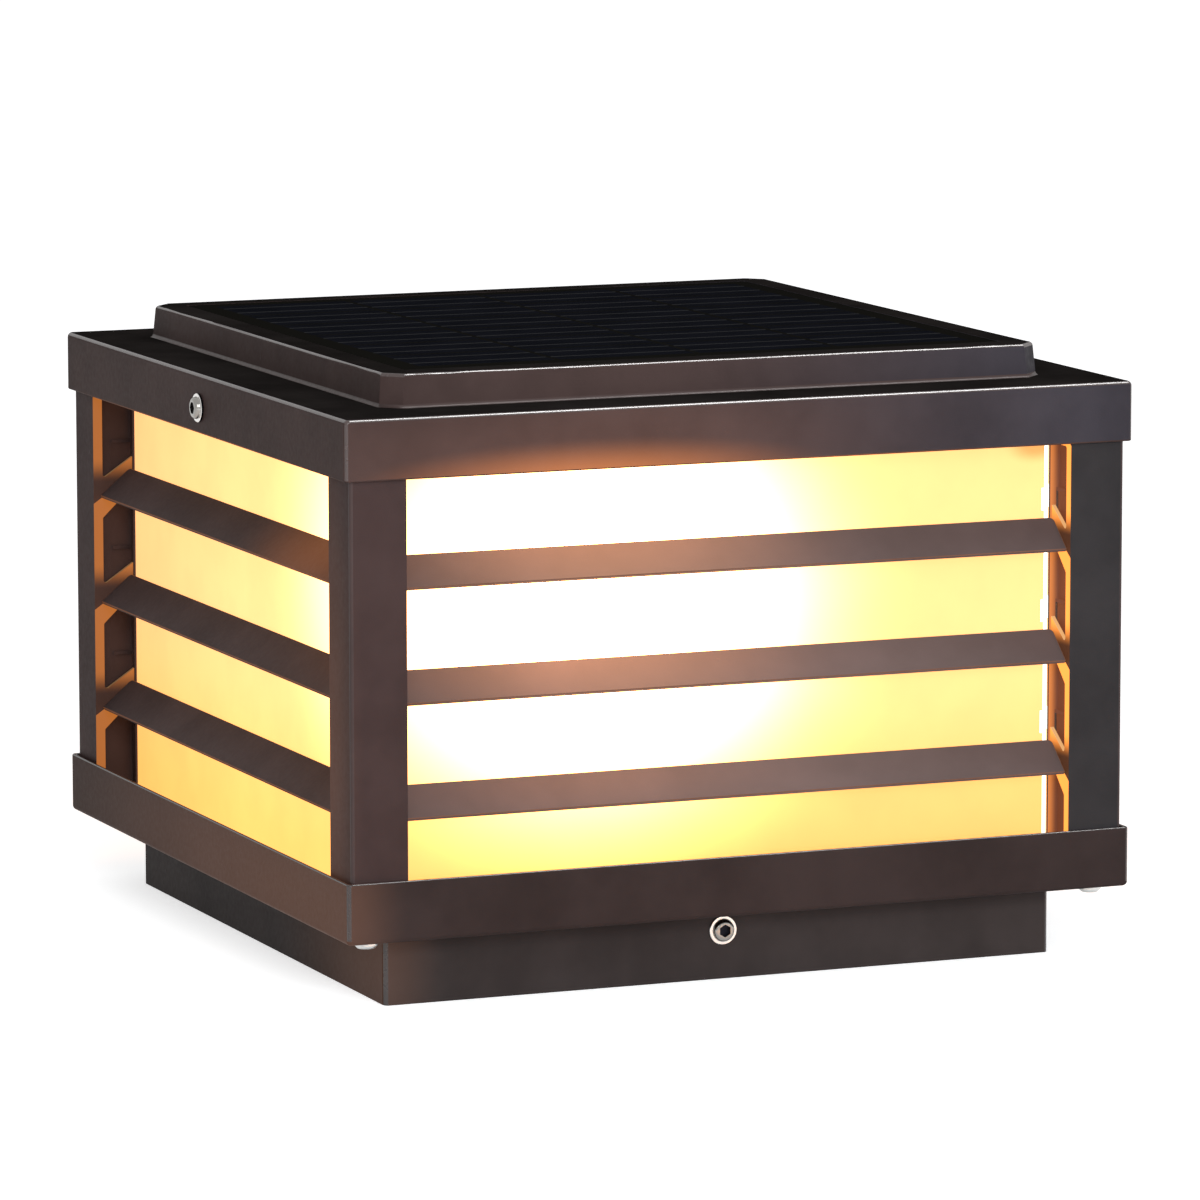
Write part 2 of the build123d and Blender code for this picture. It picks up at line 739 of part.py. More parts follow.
# Pan-head screws: four up through the tray into the post feet, four down through it into the plinth
foot_screw = pan_screw(pan_head, pan_head_height, pan_shank, tray_sheet + foot_plate_sheet + screw_end)
plinth_screw = pan_screw(pan_head, pan_head_height, pan_shank, tray_sheet + plinth_sheet + screw_end)
with BuildPart() as tray_screws:
    with GridLocations(2 * foot_screw_offset, 2 * foot_screw_offset, 2, 2):
        add(Plane((0, 0, tray_floor), x_dir=(1, 0, 0), z_dir=(0, 0, -1)) * foot_screw)
    with GridLocations(2 * tray_screw_offset, 2 * tray_screw_offset, 2, 2):
        add(Plane.XY.offset(tray_deck) * plinth_screw)
finish(tray_screws.part, "tray_screws")

# Roof cap: a brim with a turned-down skirt and a raised stage whose top is open for the solar panel
with BuildPart() as roof_cap:
    skirt_inside = cap_width - 2 * cap_sheet
    with BuildSketch(Plane.XY.offset(skirt_bottom)):
        RectangleRounded(cap_width, cap_width, corner_bend)
    extrude(amount=skirt_height)
    fillet(roof_cap.edges().group_by(Axis.Z)[-1], outer_bend)
    with BuildSketch(Plane.XY.offset(brim_top)) as stage_foot:
        Rectangle(stage_base_width, stage_base_width)
        chamfer(stage_foot.vertices(), stage_corner_cut)
    with BuildSketch(Plane.XY.offset(stage_top)) as stage_head:
        Rectangle(stage_top_width, stage_top_width)
        chamfer(stage_head.vertices(), stage_corner_cut)
    loft()
    fillet(roof_cap.edges().group_by(Axis.Z)[-1], cap_sheet)
    with BuildSketch(Plane.XY.offset(skirt_bottom)):
        RectangleRounded(skirt_inside, skirt_inside, inner_bend)
    extrude(amount=skirt_height - cap_sheet, mode=Mode.SUBTRACT)
    with BuildSketch(Plane.XY.offset(brim_top)) as hollow_foot:
        Rectangle(stage_base_width - 2 * cap_sheet, stage_base_width - 2 * cap_sheet)
        chamfer(hollow_foot.vertices(), stage_corner_cut)
    with BuildSketch(Plane.XY.offset(stage_top - cap_sheet)) as hollow_head:
        Rectangle(stage_top_width - 2 * cap_sheet, stage_top_width - 2 * cap_sheet)
        chamfer(hollow_head.vertices(), stage_corner_cut)
    loft(mode=Mode.SUBTRACT)
    fillet(roof_cap.edges().group_by(Axis.Z)[0], cap_sheet * 0.4)
    solar_opening = solar_width + 2 * solar_edge_gap
    with BuildSketch(Plane.XY.offset(stage_top)):
        Rectangle(solar_opening, solar_opening)
    extrude(amount=-cap_sheet, mode=Mode.SUBTRACT)
    with BuildSketch(Plane.XY.offset(brim_top)):
        RectangleRounded(brim_opening, brim_opening, housing_corner)
    extrude(amount=-cap_sheet, mode=Mode.SUBTRACT)
    with BuildSketch(Plane.YZ):
        with Locations((0, cap_screw_level)):
            Circle(screw_hole)
    extrude(amount=cap_width, both=True, mode=Mode.SUBTRACT)
    with BuildSketch(Plane.XY.offset(deck_top)):
        with GridLocations(2 * stud_offset, 2 * stud_offset, 2, 2):
            Circle(stud_diameter / 2)
    extrude(amount=-stud_length)
finish(roof_cap.part, "roof_cap")

# Solar panel with the ledge and gasket that carry it flush with the stage's rim
with BuildPart() as panel_ledge:
    ledge_opening = solar_width - 2 * (gasket_inset + gasket_width)
    ledge_outside = ledge_opening + 2 * ledge_width
    with BuildSketch(Plane.XY.offset(ledge_top)):
        Rectangle(ledge_outside, ledge_outside)
        Rectangle(ledge_opening, ledge_opening, mode=Mode.SUBTRACT)
    extrude(amount=-ledge_sheet)
    with BuildSketch(Plane.XY.offset(ledge_top)):
        Rectangle(ledge_outside, ledge_outside)
        Rectangle(ledge_outside - 2 * ledge_sheet, ledge_outside - 2 * ledge_sheet, mode=Mode.SUBTRACT)
    extrude(amount=stage_top - cap_sheet - ledge_top)
finish(panel_ledge.part, "panel_ledge")

with BuildPart() as panel_gasket:
    gasket_outside = solar_width - 2 * gasket_inset
    with BuildSketch(Plane.XY.offset(ledge_top)):
        Rectangle(gasket_outside, gasket_outside)
        Rectangle(gasket_outside - 2 * gasket_width, gasket_outside - 2 * gasket_width, mode=Mode.SUBTRACT)
    extrude(amount=gasket_thickness)
finish(panel_gasket.part, "panel_gasket")

with BuildPart() as solar_panel:
    with BuildSketch(Plane.XY.offset(solar_under)):
        Rectangle(solar_width, solar_width)
    extrude(amount=solar_thickness)
    chamfer(solar_panel.edges().group_by(Axis.Z)[-1], solar_edge_gap)
finish(solar_panel.part, "solar_panel")

with BuildPart() as junction_box:
    with BuildSketch(Plane.XY.offset(solar_under)):
        with Locations((junction_offset, 0)):
            RectangleRounded(junction_length, junction_width, 2 * housing_wall)
    extrude(amount=-junction_height)
    chamfer(junction_box.edges().group_by(Axis.Z)[0], housing_wall / 2)
finish(junction_box.part, "junction_box")

# Leads to the controller board: from the solar panel through the deck, the battery and the light source
panel_path = [(junction_offset + junction_length / 2, 0, lead_level), (connector_offset, 0, lead_level),
              (connector_offset, 0, connector_top)]
battery_path = [(holder_face, battery_lead_y, board_top + lead_loop),
                (connector_offset, battery_lead_y, board_top + lead_loop),
                (connector_offset, battery_lead_y, board_top)]
led_path = [(led_lead_x, led_lead_y, housing_floor), (led_lead_x, led_lead_y, board_top + lead_loop),
            (connector_offset, led_lead_y, board_top + lead_loop), (connector_offset, led_lead_y, board_top)]
with BuildPart() as lamp_leads:
    add(lead(panel_path))
    add(lead(battery_path))
    add(lead(led_path))
finish(lamp_leads.part, "lamp_leads")

# Lamp deck: a white pan that hangs on the cap's studs
with BuildPart() as lamp_deck:
    with BuildSketch(Plane.XY.offset(deck_top)):
        RectangleRounded(2 * deck_half, 2 * deck_half, corner_bend)
    extrude(amount=-deck_sheet)
    with BuildSketch(Plane.XY.offset(deck_under)):
        RectangleRounded(2 * deck_half, 2 * deck_half, corner_bend)
        Rectangle(2 * (deck_half - deck_sheet), 2 * (deck_half - deck_sheet), mode=Mode.SUBTRACT)
    extrude(amount=-deck_rim)
    with BuildSketch(Plane.XY.offset(deck_top)):
        with GridLocations(2 * stud_offset, 2 * stud_offset, 2, 2):
            Circle(stud_diameter / 2 + hole_clearance)
        with ear_places():
            Circle(small_shank / 2 + thread_gap)
        with Locations((connector_offset, 0)):
            Circle(lead_diameter / 2 + grommet_wall)
    extrude(amount=-deck_sheet, mode=Mode.SUBTRACT)
finish(lamp_deck.part, "lamp_deck")

with BuildPart() as lead_grommet:
    grommet_radius = lead_diameter / 2 + grommet_wall
    with BuildSketch(Plane.XY.offset(deck_under)):
        with Locations((connector_offset, 0)):
            Circle(grommet_radius)
    extrude(amount=deck_sheet + grommet_lip_height)
    with BuildSketch(Plane.XY.offset(deck_top)):
        with Locations((connector_offset, 0)):
            Circle(grommet_radius + grommet_lip)
    extrude(amount=grommet_lip_height)
    with BuildSketch(Plane.XY.offset(deck_under)):
        with Locations((connector_offset, 0)):
            Circle(lead_diameter / 2 + thread_gap)
    extrude(amount=deck_sheet + grommet_lip_height, mode=Mode.SUBTRACT)
finish(lead_grommet.part, "lead_grommet")

with BuildPart() as housing_gasket_ring:
    with BuildSketch(Plane.XY.offset(housing_top)):
        RectangleRounded(housing_length, housing_width, housing_corner)
        with ear_places():
            Rectangle(ear_length, ear_reach)
        RectangleRounded(housing_length - 2 * housing_wall, housing_width - 2 * housing_wall,
                         housing_corner - housing_wall, mode=Mode.SUBTRACT)
        with ear_places():
            Circle(small_shank / 2 + hole_clearance, mode=Mode.SUBTRACT)
    extrude(amount=housing_gasket)
finish(housing_gasket_ring.part, "housing_gasket")


# Lamp housing: an open tub with ears, a battery hatch, the button's hole and the fixed hinge knuckles
fixed_lug = (hinge_x - hinge_knuckle / 2, hinge_x + hinge_knuckle / 2, hinge_z,
             housing_floor + hinge_lug_rise)
outer_knuckles = hinge_knuckles([-outer_knuckle, outer_knuckle], fixed_knuckle_length, pin_bore, fixed_lug)
middle_knuckle = hinge_knuckles([0], middle_knuckle_length, pin_bore, fixed_lug)
with BuildPart() as lamp_housing:
    with BuildSketch(Plane.XY.offset(housing_floor)):
        RectangleRounded(housing_length, housing_width, housing_corner)
    extrude(amount=housing_height)
    fillet(lamp_housing.edges().group_by(Axis.Z)[0], housing_wall * 0.9)
    with BuildSketch(Plane.XY.offset(housing_top)):
        with ear_places():
            Rectangle(ear_length, ear_reach)
    extrude(amount=-ear_thickness)
    add(outer_knuckles)
    add(middle_knuckle)
    with BuildSketch(Plane.XY.offset(housing_inside)):
        RectangleRounded(housing_length - 2 * housing_wall, housing_width - 2 * housing_wall,
                         housing_corner - housing_wall)
    extrude(amount=housing_height, mode=Mode.SUBTRACT)
    with BuildSketch(Plane.XY.offset(housing_inside)):
        with Locations((button_offset, 0)):
            with GridLocations(board_width - standoff_diameter, board_length - standoff_diameter, 2, 2):
                Circle(standoff_diameter / 2)
    extrude(amount=board_under - housing_inside)
    with BuildSketch(Plane.XY.offset(housing_top)):
        with ear_places():
            Circle(small_shank / 2 + hole_clearance)
    extrude(amount=-ear_thickness, mode=Mode.SUBTRACT)
    with BuildSketch(Plane.XY.offset(housing_floor)):
        with Locations((-holder_offset, 0)):
            RectangleRounded(hatch_width, hatch_length, housing_wall)
        with Locations((button_offset, 0)):
            Circle(button_diameter / 2 + button_gap)
        with Locations((led_lead_x, led_lead_y)):
            Circle(lead_diameter / 2 + hole_clearance)
        with PolarLocations(retainer_screw_radius, retainer_screws, start_angle=45):
            Circle(small_shank / 2 + thread_gap)
        with PolarLocations(led_screw_radius, 2):
            Circle(small_shank / 2 + thread_gap)
    extrude(amount=housing_wall, mode=Mode.SUBTRACT)
finish(lamp_housing.part, "lamp_housing")

with BuildPart() as hinge_pin:
    with BuildSketch(Plane.XZ.offset(-outer_knuckle - fixed_knuckle_length / 2)):
        with Locations((hinge_x, hinge_z)):
            Circle(hinge_pin_diameter / 2)
    extrude(amount=2 * outer_knuckle + fixed_knuckle_length)
finish(hinge_pin.part, "hinge_pin")

# Battery door: a plate with two knuckles at its hinge edge and a finger tab at the other
door_lug = (hinge_x, door_edge + hinge_gap, door_top - door_thickness, door_top)
door_places = [-door_knuckle_offset, door_knuckle_offset]
door_knuckles = hinge_knuckles(door_places, door_knuckle_length, pin_bore, door_lug)
with BuildPart() as battery_door:
    with BuildSketch(Plane.XY.offset(door_top)):
        with Locations(((door_edge + door_free_edge) / 2, 0)):
            Rectangle(door_free_edge - door_edge, 2 * door_half_length)
    extrude(amount=-door_thickness)
    corners = battery_door.edges().filter_by(Axis.Z).sort_by(Axis.X)[-2:]
    fillet(corners, housing_wall)
    with BuildSketch(Plane.XY.offset(door_top - door_thickness)):
        with Locations((door_free_edge, 0)):
            RectangleRounded(2 * door_tab_reach, door_tab_width, door_tab_reach * 0.6)
    extrude(amount=door_thickness)
    add(door_knuckles)
finish(battery_door.part, "battery_door")

with BuildPart() as door_seal_ring:
    seal_length = 2 * door_half_length - hinge_gap
    seal_width = hatch_width + 2 * door_margin - hinge_gap
    with BuildSketch(Plane.XY.offset(door_top)):
        with Locations((-holder_offset, 0)):
            RectangleRounded(seal_width, seal_length, housing_wall)
            RectangleRounded(seal_width - 2 * door_seal_width, seal_length - 2 * door_seal_width,
                             housing_wall / 2, mode=Mode.SUBTRACT)
    extrude(amount=door_seal)
finish(door_seal_ring.part, "door_seal")

# Battery holder, open below, with the two cells clipped in it and a leaf contact at each end of each cell
cell_places = [-holder_offset - cell_spacing / 2, -holder_offset + cell_spacing / 2]
with BuildPart() as battery_holder:
    with BuildSketch(Plane.XY.offset(cell_level - holder_grip)):
        with Locations((-holder_offset, 0)):
            Rectangle(holder_width, holder_length)
    extrude(amount=deck_under - cell_level + holder_grip)
    with BuildSketch(Plane.XZ.offset(-holder_room / 2)):
        for place in cell_places:
            with Locations((place, cell_level)):
                Circle(cell_radius + cell_clearance)
    extrude(amount=holder_room, mode=Mode.SUBTRACT)
finish(battery_holder.part, "battery_holder")

with BuildPart() as battery_cells:
    for place, way in zip(cell_places, (1, -1)):
        cell_foot = Plane((place, -way * cell_length / 2, cell_level), z_dir=(0, way, 0))
        with BuildSketch(cell_foot):
            Circle(cell_radius)
        extrude(amount=cell_length - cell_nub_height)
        with BuildSketch(cell_foot):
            Circle(cell_nub_diameter / 2)
        extrude(amount=cell_length)
finish(battery_cells.part, "battery_cells")

with BuildPart() as battery_contacts:
    for place in cell_places:
        for way in (-1, 1):
            with BuildSketch(Plane.YZ.offset(place - contact_width / 2)):
                with BuildLine():
                    root = way * holder_room / 2
                    low = cell_level - contact_height / 2
                    high = cell_level + contact_height / 2
                    bow = way * (cell_length / 2)
                    ThreePointArc((root, low), (bow, cell_level), (root, high))
                    Line((root, high), (root, high - contact_sheet * 2))
                    ThreePointArc((root, high - contact_sheet * 2), (bow + way * contact_sheet, cell_level),
                                  (root, low + contact_sheet * 2))
                    Line((root, low + contact_sheet * 2), (root, low))
                make_face()
            extrude(amount=contact_width)
finish(battery_contacts.part, "battery_contacts")

# Controller board on its standoffs, with the push switch below it and the power button under that
with BuildPart() as controller_board:
    with BuildSketch(Plane.XY.offset(board_under)):
        with Locations((button_offset, 0)):
            Rectangle(board_width, board_length)
    extrude(amount=board_thickness)
    with BuildSketch(Plane.XY.offset(board_top)):
        with Locations((connector_offset, 0)):
            Rectangle(connector_width, connector_length)
    extrude(amount=connector_height)
    with BuildSketch(Plane.XY.offset(board_top)):
        with Locations((button_offset, board_length / 4)):
            Circle(coil_diameter / 2)
    extrude(amount=coil_height)
    with BuildSketch(Plane.XY.offset(board_top)):
        with Locations((button_offset + board_width / 4, -board_length / 4)):
            Circle(capacitor_diameter / 2)
    extrude(amount=capacitor_height)
    with BuildSketch(Plane.XY.offset(board_top)):
        with Locations((button_offset - board_width / 5, -board_length / 4)):
            Rectangle(chip_width, chip_width)
    extrude(amount=chip_height)
finish(controller_board.part, "controller_board")

with BuildPart() as power_switch:
    with BuildSketch(Plane.XY.offset(board_under)):
        with Locations((button_offset, 0)):
            RectangleRounded(switch_width, switch_width, switch_corner)
    extrude(amount=-switch_height)
    with BuildSketch(Plane.XY.offset(board_under - switch_height)):
        with Locations((button_offset, 0)):
            Circle(plunger_diameter / 2)
    extrude(amount=-plunger_height)
finish(power_switch.part, "power_switch")

with BuildPart() as power_button:
    button_bottom = housing_floor - button_stand
    with BuildSketch(Plane.XY.offset(button_bottom)):
        with Locations((button_offset, 0)):
            Circle(button_diameter / 2)
    extrude(amount=button_seat - button_bottom)
    chamfer(power_button.edges().group_by(Axis.Z)[0], button_stand * 0.3)
    with BuildSketch(Plane.XY.offset(button_seat)):
        with Locations((button_offset, 0)):
            Circle(button_flange / 2)
    extrude(amount=button_flange_height)
finish(power_button.part, "power_button")

# Light source: a ring and a core of chips on a round board, a white reflector ring and the frosted dome
with BuildPart() as led_board:
    with BuildSketch(Plane.XY.offset(housing_floor)):
        Circle(led_board_radius)
        with PolarLocations(led_screw_radius, 2):
            Circle(small_shank / 2 + hole_clearance, mode=Mode.SUBTRACT)
    extrude(amount=-led_board_thickness)
finish(led_board.part, "led_board")

with BuildPart() as led_chips:
    with BuildSketch(Plane.XY.offset(led_under)):
        with PolarLocations(led_ring_radius, led_ring_count, start_angle=180 / led_ring_count):
            Rectangle(led_width, led_length)
        with PolarLocations(led_core_radius, led_core_count):
            Rectangle(led_width, led_length)
    extrude(amount=-led_height)
finish(led_chips.part, "led_chips")

with BuildPart() as reflector_ring:
    with BuildSketch(Plane.XZ):
        with BuildLine():
            Polyline((led_board_radius + hole_clearance, housing_floor),
                     (dome_inside - hole_clearance, housing_floor),
                     (dome_inside - hole_clearance, housing_floor - reflector_height),
                     (dome_inside - hole_clearance - reflector_wall / 2, housing_floor - reflector_height),
                     close=True)
        make_face()
    revolve(axis=Axis.Z)
finish(reflector_ring.part, "reflector_ring")


with BuildPart() as dome:
    flange_under = dome_top - dome_flange_height
    outside = crown_arc(dome_radius, dome_crown, dome_bottom)
    inside = crown_arc(dome_inside, dome_crown - dome_wall, dome_bottom + dome_wall)
    with BuildSketch(Plane.XZ):
        with BuildLine():
            ThreePointArc(*outside)
            Line(outside[2], inside[2])
            ThreePointArc(*inside[::-1])
            Polyline(inside[0], (dome_inside, dome_top), (flange_radius, dome_top),
                     (flange_radius, flange_under), (dome_radius, flange_under), outside[0])
        make_face()
    revolve(axis=Axis.Z)
finish(dome.part, "frosted_dome")

with BuildPart() as dome_gasket_ring:
    with BuildSketch(Plane.XY.offset(dome_top)):
        Circle(flange_radius)
        Circle(dome_inside, mode=Mode.SUBTRACT)
    extrude(amount=dome_gasket)
finish(dome_gasket_ring.part, "dome_gasket")

with BuildPart() as dome_retainer:
    with BuildSketch(Plane.XY.offset(housing_floor)):
        Circle(retainer_radius)
        Circle(dome_radius + retainer_gap, mode=Mode.SUBTRACT)
    extrude(amount=retainer_bottom - housing_floor)
    chamfer(dome_retainer.edges().group_by(Axis.Z)[0], retainer_lip * 0.5)
    with BuildSketch(Plane.XY.offset(housing_floor)):
        Circle(flange_radius + retainer_gap)
    extrude(amount=dome_top - dome_flange_height - housing_floor, mode=Mode.SUBTRACT)
    with BuildSketch(Plane.XY.offset(housing_floor)):
        with PolarLocations(retainer_screw_radius, retainer_screws, start_angle=45):
            Circle(small_shank / 2 + hole_clearance)
    extrude(amount=retainer_bottom - housing_floor, mode=Mode.SUBTRACT)
finish(dome_retainer.part, "dome_retainer")

# Small screws of the lamp, driven from below: at the ears, round the dome's retainer, on the LED board
ear_screw_length = ear_thickness + housing_gasket + deck_sheet
ear_screw = pan_screw(small_head, small_head_height, small_shank, ear_screw_length)
retainer_screw = pan_screw(small_head, small_head_height, small_shank,
                           housing_floor - retainer_bottom + housing_wall)
led_screw = pan_screw(small_head, small_head_height, small_shank, led_board_thickness + housing_wall)
with BuildPart() as lamp_screws:
    with ear_places():
        add(Plane((0, 0, housing_top - ear_thickness), z_dir=(0, 0, -1)) * ear_screw)
    with PolarLocations(retainer_screw_radius, retainer_screws, start_angle=45):
        add(Plane((0, 0, retainer_bottom), z_dir=(0, 0, -1)) * retainer_screw)
    with PolarLocations(led_screw_radius, 2):
        add(Plane((0, 0, led_under), z_dir=(0, 0, -1)) * led_screw)
finish(lamp_screws.part, "lamp_screws")
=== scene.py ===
"""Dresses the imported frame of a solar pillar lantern: finishes, detailed pieces, studio and camera."""

import logging
import math
from dataclasses import dataclass
from enum import Enum
from typing import Callable, Optional, Sequence, Union

import bmesh
import bpy
from mathutils import Matrix, Vector


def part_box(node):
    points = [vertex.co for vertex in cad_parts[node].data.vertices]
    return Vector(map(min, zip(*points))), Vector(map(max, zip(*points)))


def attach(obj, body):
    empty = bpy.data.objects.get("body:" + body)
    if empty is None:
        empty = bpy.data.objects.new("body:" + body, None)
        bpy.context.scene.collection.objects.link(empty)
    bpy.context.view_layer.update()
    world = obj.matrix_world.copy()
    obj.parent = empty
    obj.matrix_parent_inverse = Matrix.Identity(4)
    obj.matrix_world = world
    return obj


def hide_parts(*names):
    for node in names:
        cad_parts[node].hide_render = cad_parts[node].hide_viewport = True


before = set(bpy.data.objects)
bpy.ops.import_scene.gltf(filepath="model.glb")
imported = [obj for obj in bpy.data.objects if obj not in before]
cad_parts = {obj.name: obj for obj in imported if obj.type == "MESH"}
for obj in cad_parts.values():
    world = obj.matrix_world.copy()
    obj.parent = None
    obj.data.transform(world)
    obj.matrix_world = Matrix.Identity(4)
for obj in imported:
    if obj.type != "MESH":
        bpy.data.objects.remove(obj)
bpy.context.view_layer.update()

logging.basicConfig(level=logging.INFO, format="%(message)s")
log = logging.getLogger("lantern")

Colour = tuple[float, float, float]
Triple = tuple[float, float, float]
Feed = Union[float, bpy.types.NodeSocket]
Tint = Union[Colour, bpy.types.NodeSocket]
MM = 0.001


def from_screen(red: int, green: int, blue: int) -> Colour:
    """Turns a colour as a screen shows it, 0 to 255, into the linear values that a shader takes.

    Args:
        red, green, blue: The screen's three channels.

    Returns:
        The linear colour.
    """
    def straight(value: int) -> float:
        """One channel made linear."""
        share = value / 255.0
        return share / 12.92 if share <= 0.04045 else ((share + 0.055) / 1.055) ** 2.4
    return straight(red), straight(green), straight(blue)


class Body(Enum):
    """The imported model's bodies."""

    LANTERN = "lantern"
    CAP = "cap"
    DOOR = "battery_door"
    BUTTON = "power_button"


class Side(Enum):
    """The lantern's four sides, with the unit vector that each one faces along."""

    FRONT = ("front", (0.0, -1.0))
    RIGHT = ("right", (1.0, 0.0))
    REAR = ("rear", (0.0, 1.0))
    LEFT = ("left", (-1.0, 0.0))

    @property
    def label(self) -> str:
        """The side's name in the node names."""
        return self.value[0]

    @property
    def out(self) -> Vector:
        """The way that the side faces."""
        return Vector((*self.value[1], 0.0))


class Corner(Enum):
    """The lantern's four corners, as the node names have them."""

    FRONT_LEFT = "front_left"
    FRONT_RIGHT = "front_right"
    REAR_RIGHT = "rear_right"
    REAR_LEFT = "rear_left"


class Graph:
    """One material's node tree, with short ways to add nodes and to join them."""

    def __init__(self, name: str) -> None:
        """Starts the tree with a Principled shader and object coordinates.

        Args:
            name: The material's name.
        """
        self.material = bpy.data.materials.new(name)
        self.material.use_nodes = True
        self.tree = self.material.node_tree
        self.tree.nodes.clear()
        output = self.node("ShaderNodeOutputMaterial")
        self.shader = self.node("ShaderNodeBsdfPrincipled")
        self.tree.links.new(self.shader.outputs[0], output.inputs["Surface"])
        self.place = self.node("ShaderNodeTexCoord").outputs["Object"]

    def node(self, kind: str, **settings: object) -> bpy.types.Node:
        """Adds a node.

        Args:
            kind: The node's type.
            **settings: Properties set on it.

        Returns:
            The new node.
        """
        made = self.tree.nodes.new(kind)
        for key, value in settings.items():
            setattr(made, key, value)
        return made

    def feed(self, socket: bpy.types.NodeSocket, value: object) -> None:
        """Links a socket into another, or sets a plain value on it.

        Args:
            socket: The input that is fed.
            value: A socket, a number or a colour.
        """
        if isinstance(value, bpy.types.NodeSocket):
            self.tree.links.new(value, socket)
        elif isinstance(value, tuple) and len(value) == 3 and socket.type == "RGBA":
            socket.default_value = (*value, 1.0)
        else:
            socket.default_value = value

    def set(self, **values: object) -> None:
        """Feeds the shader's sockets, named with underscores for spaces."""
        for key, value in values.items():
            self.feed(self.shader.inputs[key.replace("_", " ")], value)

    def math(self, operation: str, *values: Feed) -> bpy.types.NodeSocket:
        """Adds a Math node.

        Args:
            operation: The sum that it does.
            *values: Its inputs, numbers or sockets.

        Returns:
            Its result.
        """
        made = self.node("ShaderNodeMath", operation=operation)
        for socket, value in zip(made.inputs, values):
            self.feed(socket, value)
        return made.outputs[0]

    def axes(self) -> Sequence[bpy.types.NodeSocket]:
        """Splits the object coordinates.

        Returns:
            Their x, y and z.
        """
        made = self.node("ShaderNodeSeparateXYZ")
        self.feed(made.inputs[0], self.place)
        return made.outputs

    def spread(self, at: Triple = (0.0, 0.0, 0.0), stretch: Triple = (1.0, 1.0, 1.0)) -> bpy.types.NodeSocket:
        """Object coordinates, moved and scaled.

        Args:
            at: Where their origin is, in metres.
            stretch: Their scale along each axis.

        Returns:
            The mapped coordinates.
        """
        made = self.node("ShaderNodeMapping", vector_type="POINT")
        self.feed(made.inputs["Vector"], self.place)
        made.inputs["Scale"].default_value = stretch
        made.inputs["Location"].default_value = tuple(-part * spot for part, spot in zip(stretch, at))
        return made.outputs[0]

    def distance(self, middle: Triple, reach: Triple) -> bpy.types.NodeSocket:
        """How far each point is from a middle.

        Args:
            middle: The middle, in metres.
            reach: What counts as 1 along each axis, in metres.

        Returns:
            The distance, as a share of the reach.
        """
        made = self.node("ShaderNodeVectorMath", operation="LENGTH")
        self.feed(made.inputs[0], self.spread(middle, tuple(1.0 / part for part in reach)))
        return made.outputs["Value"]

    def noise(self, scale: float, detail: float = 2.0, roughness: float = 0.5,
              stretch: Triple = (1.0, 1.0, 1.0)) -> bpy.types.NodeSocket:
        """A noise pattern.

        Args:
            scale: Its cells per metre.
            detail: How many finer layers it has.
            roughness: How strong those are.
            stretch: Scale along each axis.

        Returns:
            The noise, from 0 to 1.
        """
        made = self.node("ShaderNodeTexNoise")
        self.feed(made.inputs["Vector"], self.spread(stretch=stretch))
        made.inputs["Scale"].default_value = scale
        made.inputs["Detail"].default_value = detail
        made.inputs["Roughness"].default_value = roughness
        return made.outputs[0]

    def ease(self, value: Feed, start: float, end: float, low: float = 0.0, high: float = 1.0,
             smooth: bool = True) -> bpy.types.NodeSocket:
        """Maps a range onto another, clamped.

        Args:
            value: What is mapped.
            start, end: The range it comes from.
            low, high: The range it goes to.
            smooth: Whether both ends are eased.

        Returns:
            The mapped value.
        """
        kind = "SMOOTHSTEP" if smooth else "LINEAR"
        made = self.node("ShaderNodeMapRange", interpolation_type=kind, clamp=True)
        for name, number in (("From Min", start), ("From Max", end), ("To Min", low), ("To Max", high)):
            self.feed(made.inputs[name], number)
        self.feed(made.inputs["Value"], value)
        return made.outputs[0]

    def waver(self, noise: bpy.types.NodeSocket, low: float = 0.0, high: float = 1.0,
              margin: float = 0.3) -> bpy.types.NodeSocket:
        """Maps a noise's middle range onto a range of values.

        Args:
            noise: The noise.
            low, high: The range of values.
            margin: What is left out at each end of the noise.

        Returns:
            The mapped value.
        """
        return self.ease(noise, margin, 1.0 - margin, low, high)

    def mix(self, share: Feed, first: Tint, second: Tint) -> bpy.types.NodeSocket:
        """Mixes two colours.

        Args:
            share: How much of the second, 0 to 1.
            first, second: Colours or sockets.

        Returns:
            The mixed colour.
        """
        made = self.node("ShaderNodeMix", data_type="RGBA", blend_type="MIX")
        self.feed(made.inputs[0], share)
        self.feed(made.inputs[6], first)
        self.feed(made.inputs[7], second)
        return made.outputs[2]

    def scaled(self, colour: Tint, amount: Feed) -> bpy.types.NodeSocket:
        """A colour times a number, as a vector product.

        Args:
            colour: The colour.
            amount: The number.

        Returns:
            The product.
        """
        made = self.node("ShaderNodeVectorMath", operation="SCALE")
        if isinstance(colour, tuple):
            made.inputs[0].default_value = colour
        else:
            self.feed(made.inputs[0], colour)
        self.feed(made.inputs["Scale"], amount)
        return made.outputs[0]

    def relief(self, height: Feed, depth: float, strength: float = 1.0) -> None:
        """Gives the shader a bump.

        Args:
            height: The height, 0 to 1.
            depth: What a height of 1 is, in metres.
            strength: Share of the effect.
        """
        made = self.node("ShaderNodeBump")
        made.inputs["Strength"].default_value = strength
        made.inputs["Distance"].default_value = depth
        self.feed(made.inputs["Height"], height)
        self.set(Normal=made.outputs[0])


